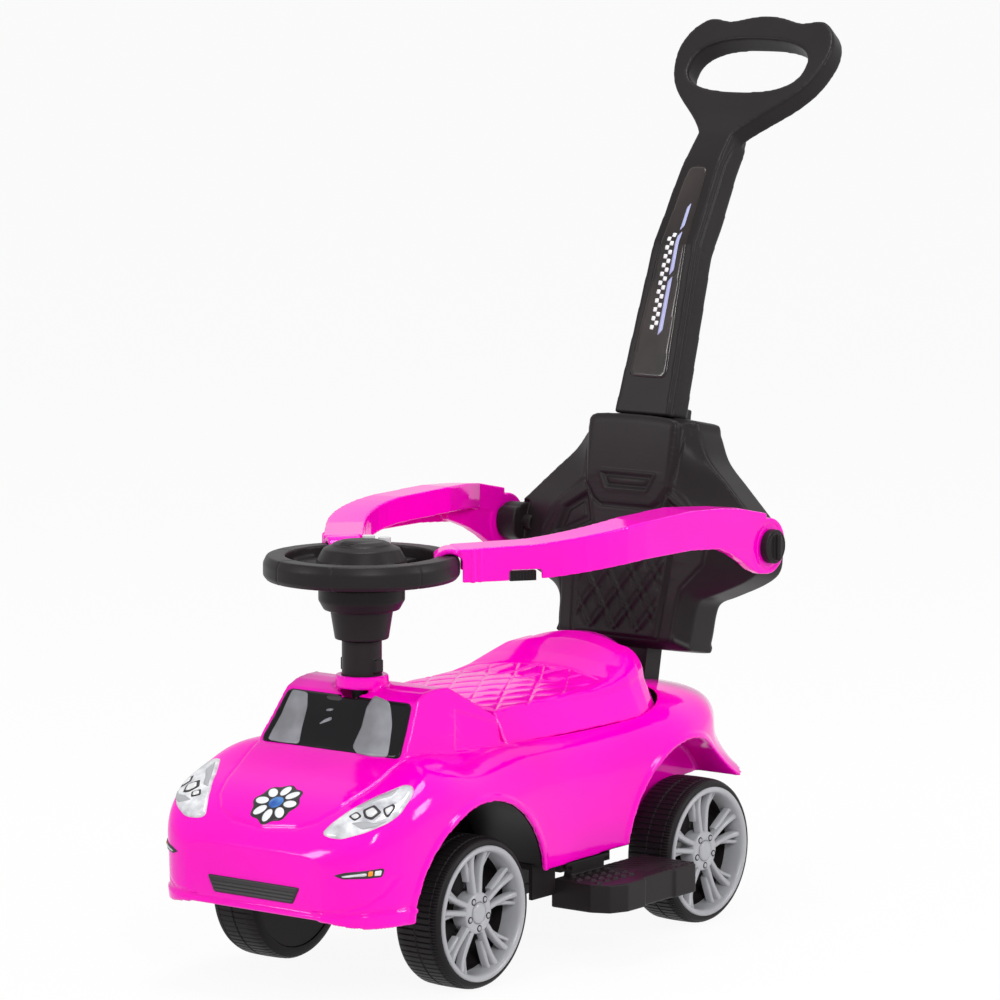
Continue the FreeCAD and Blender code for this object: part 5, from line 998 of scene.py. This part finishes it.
def stem_marks(points, normals):
    """A rounder bend and a groove along each flank."""
    x, y, z = points.T
    low, middle, high = STEM_BEND
    shift = BEND_SHIFT * step(z, low, middle) * (1 - step(z, middle, high))
    gap = line_distance(x + shift, z, STEM_FRONT)
    flank = step(np.abs(normals[:, 1]), 0.6, 0.85) * step(z, *GROOVE_FOOT) * (1 - step(z, *GROOVE_HEAD))
    move = normals * (-GROOVE_DEPTH * flank * ridge(gap - GROOVE_INSET, 3.2))[:, None]
    move[:, 0] += shift
    return move


def handle():
    skin = shaped("handle", ["handle", "handle_panel"], BLACK,
                  voxel=1.3, rounds=26, share=0.45, sculpt=stem_marks)
    piece(skin, "handle", "black_plastic", "handle")
    tree = BVHTree.FromObject(skin, bpy.context.evaluated_depsgraph_get())
    face = laid("handle_panel_face", PANEL, PANEL_VIEW, 0.7, PRINT,
                corner=9, edge=1.2, pitch=2.0, tree=tree)
    piece(face, "handle", "panel_print", "handle_panel")
    marks = []
    for row in range(CHECK_ROWS):
        left = CHECK_LEFT + CHECK * (row % 2)
        foot = CHECK_FOOT + CHECK * row
        square = [(left, foot), (left + CHECK, foot), (left + CHECK, foot + CHECK), (left, foot + CHECK)]
        marks.append(laid(f"panel_check_{row}", square, PANEL_VIEW, 0.1, PALE,
                          corner=0.4, edge=0.4, base=1.05, tree=tree))
    for k, bar in enumerate(PANEL_BARS):
        marks.append(laid(f"panel_bar_{k}", bar, PANEL_VIEW, 0.15, LILAC,
                          corner=1.0, edge=0.5, base=1.05, tree=tree))
    piece(joined("panel_marks", marks), "handle", "panel_print")


handle()


# Footrests: rounded steps with raised dots, slanted grooves and edge dashes
DOT_ROWS, DOT_COLUMNS = 4, 5
DOT_FIRST, DOT_PITCH = (-22.0, 126.0), (13.0, 12.0)
DOT_RISE = 2.2
SLANT_PITCH, SLANT_DEPTH = 11.0, 1.2
DASH_PITCH, DASH_LINE = 9.0, 175.0


def foot_marks(points, normals):
    x, y, z = points.T
    along = x - MID_X
    away = np.abs(y)
    top = step(normals[:, 2], 0.6, 0.85) * step(z, 74, 78)
    push = np.zeros_like(x)
    for row in range(DOT_ROWS):
        for k in range(DOT_COLUMNS):
            px = DOT_FIRST[0] + DOT_PITCH[0] * (k + 0.5 * (row % 2))
            py = DOT_FIRST[1] + DOT_PITCH[1] * row
            push += DOT_RISE * (1 - step(np.hypot((along - px) / 1.35, away - py), 1.6, 3.6))
    slant = (along + 0.5 * (away - 120)) / SLANT_PITCH
    rear = 1 - step(along, -36, -32)
    groove = ridge((slant - np.round(slant)) * SLANT_PITCH, 1.8)
    push -= SLANT_DEPTH * rear * groove * (1 - step(away, 164, 168))
    dash = (along / DASH_PITCH) % 1.0
    push += ridge(away - DASH_LINE, 1.6) * rear * step(dash, 0.3, 0.4)
    return top * push


for SIDE_NAME, SIDE in SIDES:
    moulding(f"footrest_{SIDE_NAME}", [f"footrest_{SIDE_NAME}"], f"footrest_{SIDE_NAME}", "black_plastic",
             BLACK, voxel=1.1, rounds=6, share=0.5, sculpt=foot_marks)


# Floor, light and camera
FLOOR_SIZE, FLOOR_GLOW = 90, 0.93
FILL = 0.36
LIGHT_AIM = (0.05, 0, 0.35)
LIGHTS = (
    ("key", (2.6, 2.8, 2.6), 0.5, 1.6, 80),
    ("side", (-1.4, 3.2, 1.9), 0.5, 1.5, 44),
    ("front", (3.4, -2.2, 2.0), 0.5, 1.5, 44),
    ("top", (0.0, 0.0, 3.4), 0.8, 1.6, 50),
)
CAMERA_AT, CAMERA_AIM = (4.0436, 3.007, 1.085), (0.0516, 0.001, 0.431)
CAMERA_LENS, CAMERA_SENSOR = 186.27, 36


def direct_rays(tree):
    """A socket that is 1 for camera, glossy and transmitted rays, and 0 for the others."""
    path = tree.nodes.new("ShaderNodeLightPath")
    seen = path.outputs["Is Camera Ray"]
    for kind in ("Is Glossy Ray", "Is Transmission Ray"):
        either = tree.nodes.new("ShaderNodeMath")
        either.operation = "MAXIMUM"
        tree.links.new(seen, either.inputs[0])
        tree.links.new(path.outputs[kind], either.inputs[1])
        seen = either.outputs[0]
    return seen


def mix_out(tree, share, one, two, output):
    """Send a mix of two shaders to the output node."""
    mix = tree.nodes.new("ShaderNodeMixShader")
    tree.links.new(share, mix.inputs["Fac"])
    tree.links.new(one.outputs[0], mix.inputs[1])
    tree.links.new(two.outputs[0], mix.inputs[2])
    tree.links.new(mix.outputs[0], tree.nodes[output].inputs["Surface"])


def add_floor():
    bpy.ops.mesh.primitive_plane_add(size=FLOOR_SIZE)
    floor = bpy.context.object
    floor.name = "floor"
    material, tree, principled, add = shader("floor_pale")
    principled.inputs["Base Color"].default_value = (0.86, 0.86, 0.86, 1)
    principled.inputs["Roughness"].default_value = 0.6
    glow = add("ShaderNodeEmission", Color=(1, 1, 1, 1), Strength=1.0)
    share = add("ShaderNodeMath")
    share.operation = "MULTIPLY"
    share.inputs[1].default_value = FLOOR_GLOW
    tree.links.new(direct_rays(tree), share.inputs[0])
    mix_out(tree, share.outputs[0], principled, glow, "Material Output")
    floor.data.materials.append(material)


def add_world():
    world = bpy.data.worlds.new("studio")
    bpy.context.scene.world = world
    world.use_nodes = True
    tree = world.node_tree
    fill = tree.nodes["Background"]
    fill.inputs["Color"].default_value = (1, 1, 1, 1)
    fill.inputs["Strength"].default_value = FILL
    white = tree.nodes.new("ShaderNodeBackground")
    white.inputs["Strength"].default_value = 1.0
    mix_out(tree, direct_rays(tree), fill, white, "World Output")


def aimed(obj, at, aim):
    """Put a lamp or camera in the scene, turned to a point."""
    bpy.context.collection.objects.link(obj)
    obj.location = at
    obj.rotation_euler = (Vector(aim) - Vector(at)).to_track_quat("-Z", "Y").to_euler()


def studio():
    add_floor()
    add_world()
    for name, at, wide, tall, power in LIGHTS:
        data = bpy.data.lights.new(name, "AREA")
        data.shape = "RECTANGLE"
        data.energy = power
        data.size = wide
        data.size_y = tall
        aimed(bpy.data.objects.new(name, data), at, LIGHT_AIM)

    data = bpy.data.cameras.new("camera")
    data.lens = CAMERA_LENS
    data.sensor_width = CAMERA_SENSOR
    camera = bpy.data.objects.new("camera", data)
    aimed(camera, CAMERA_AT, CAMERA_AIM)
    bpy.context.scene.camera = camera
    bpy.context.scene.view_settings.view_transform = "Standard"


studio()

bpy.context.view_layer.update()
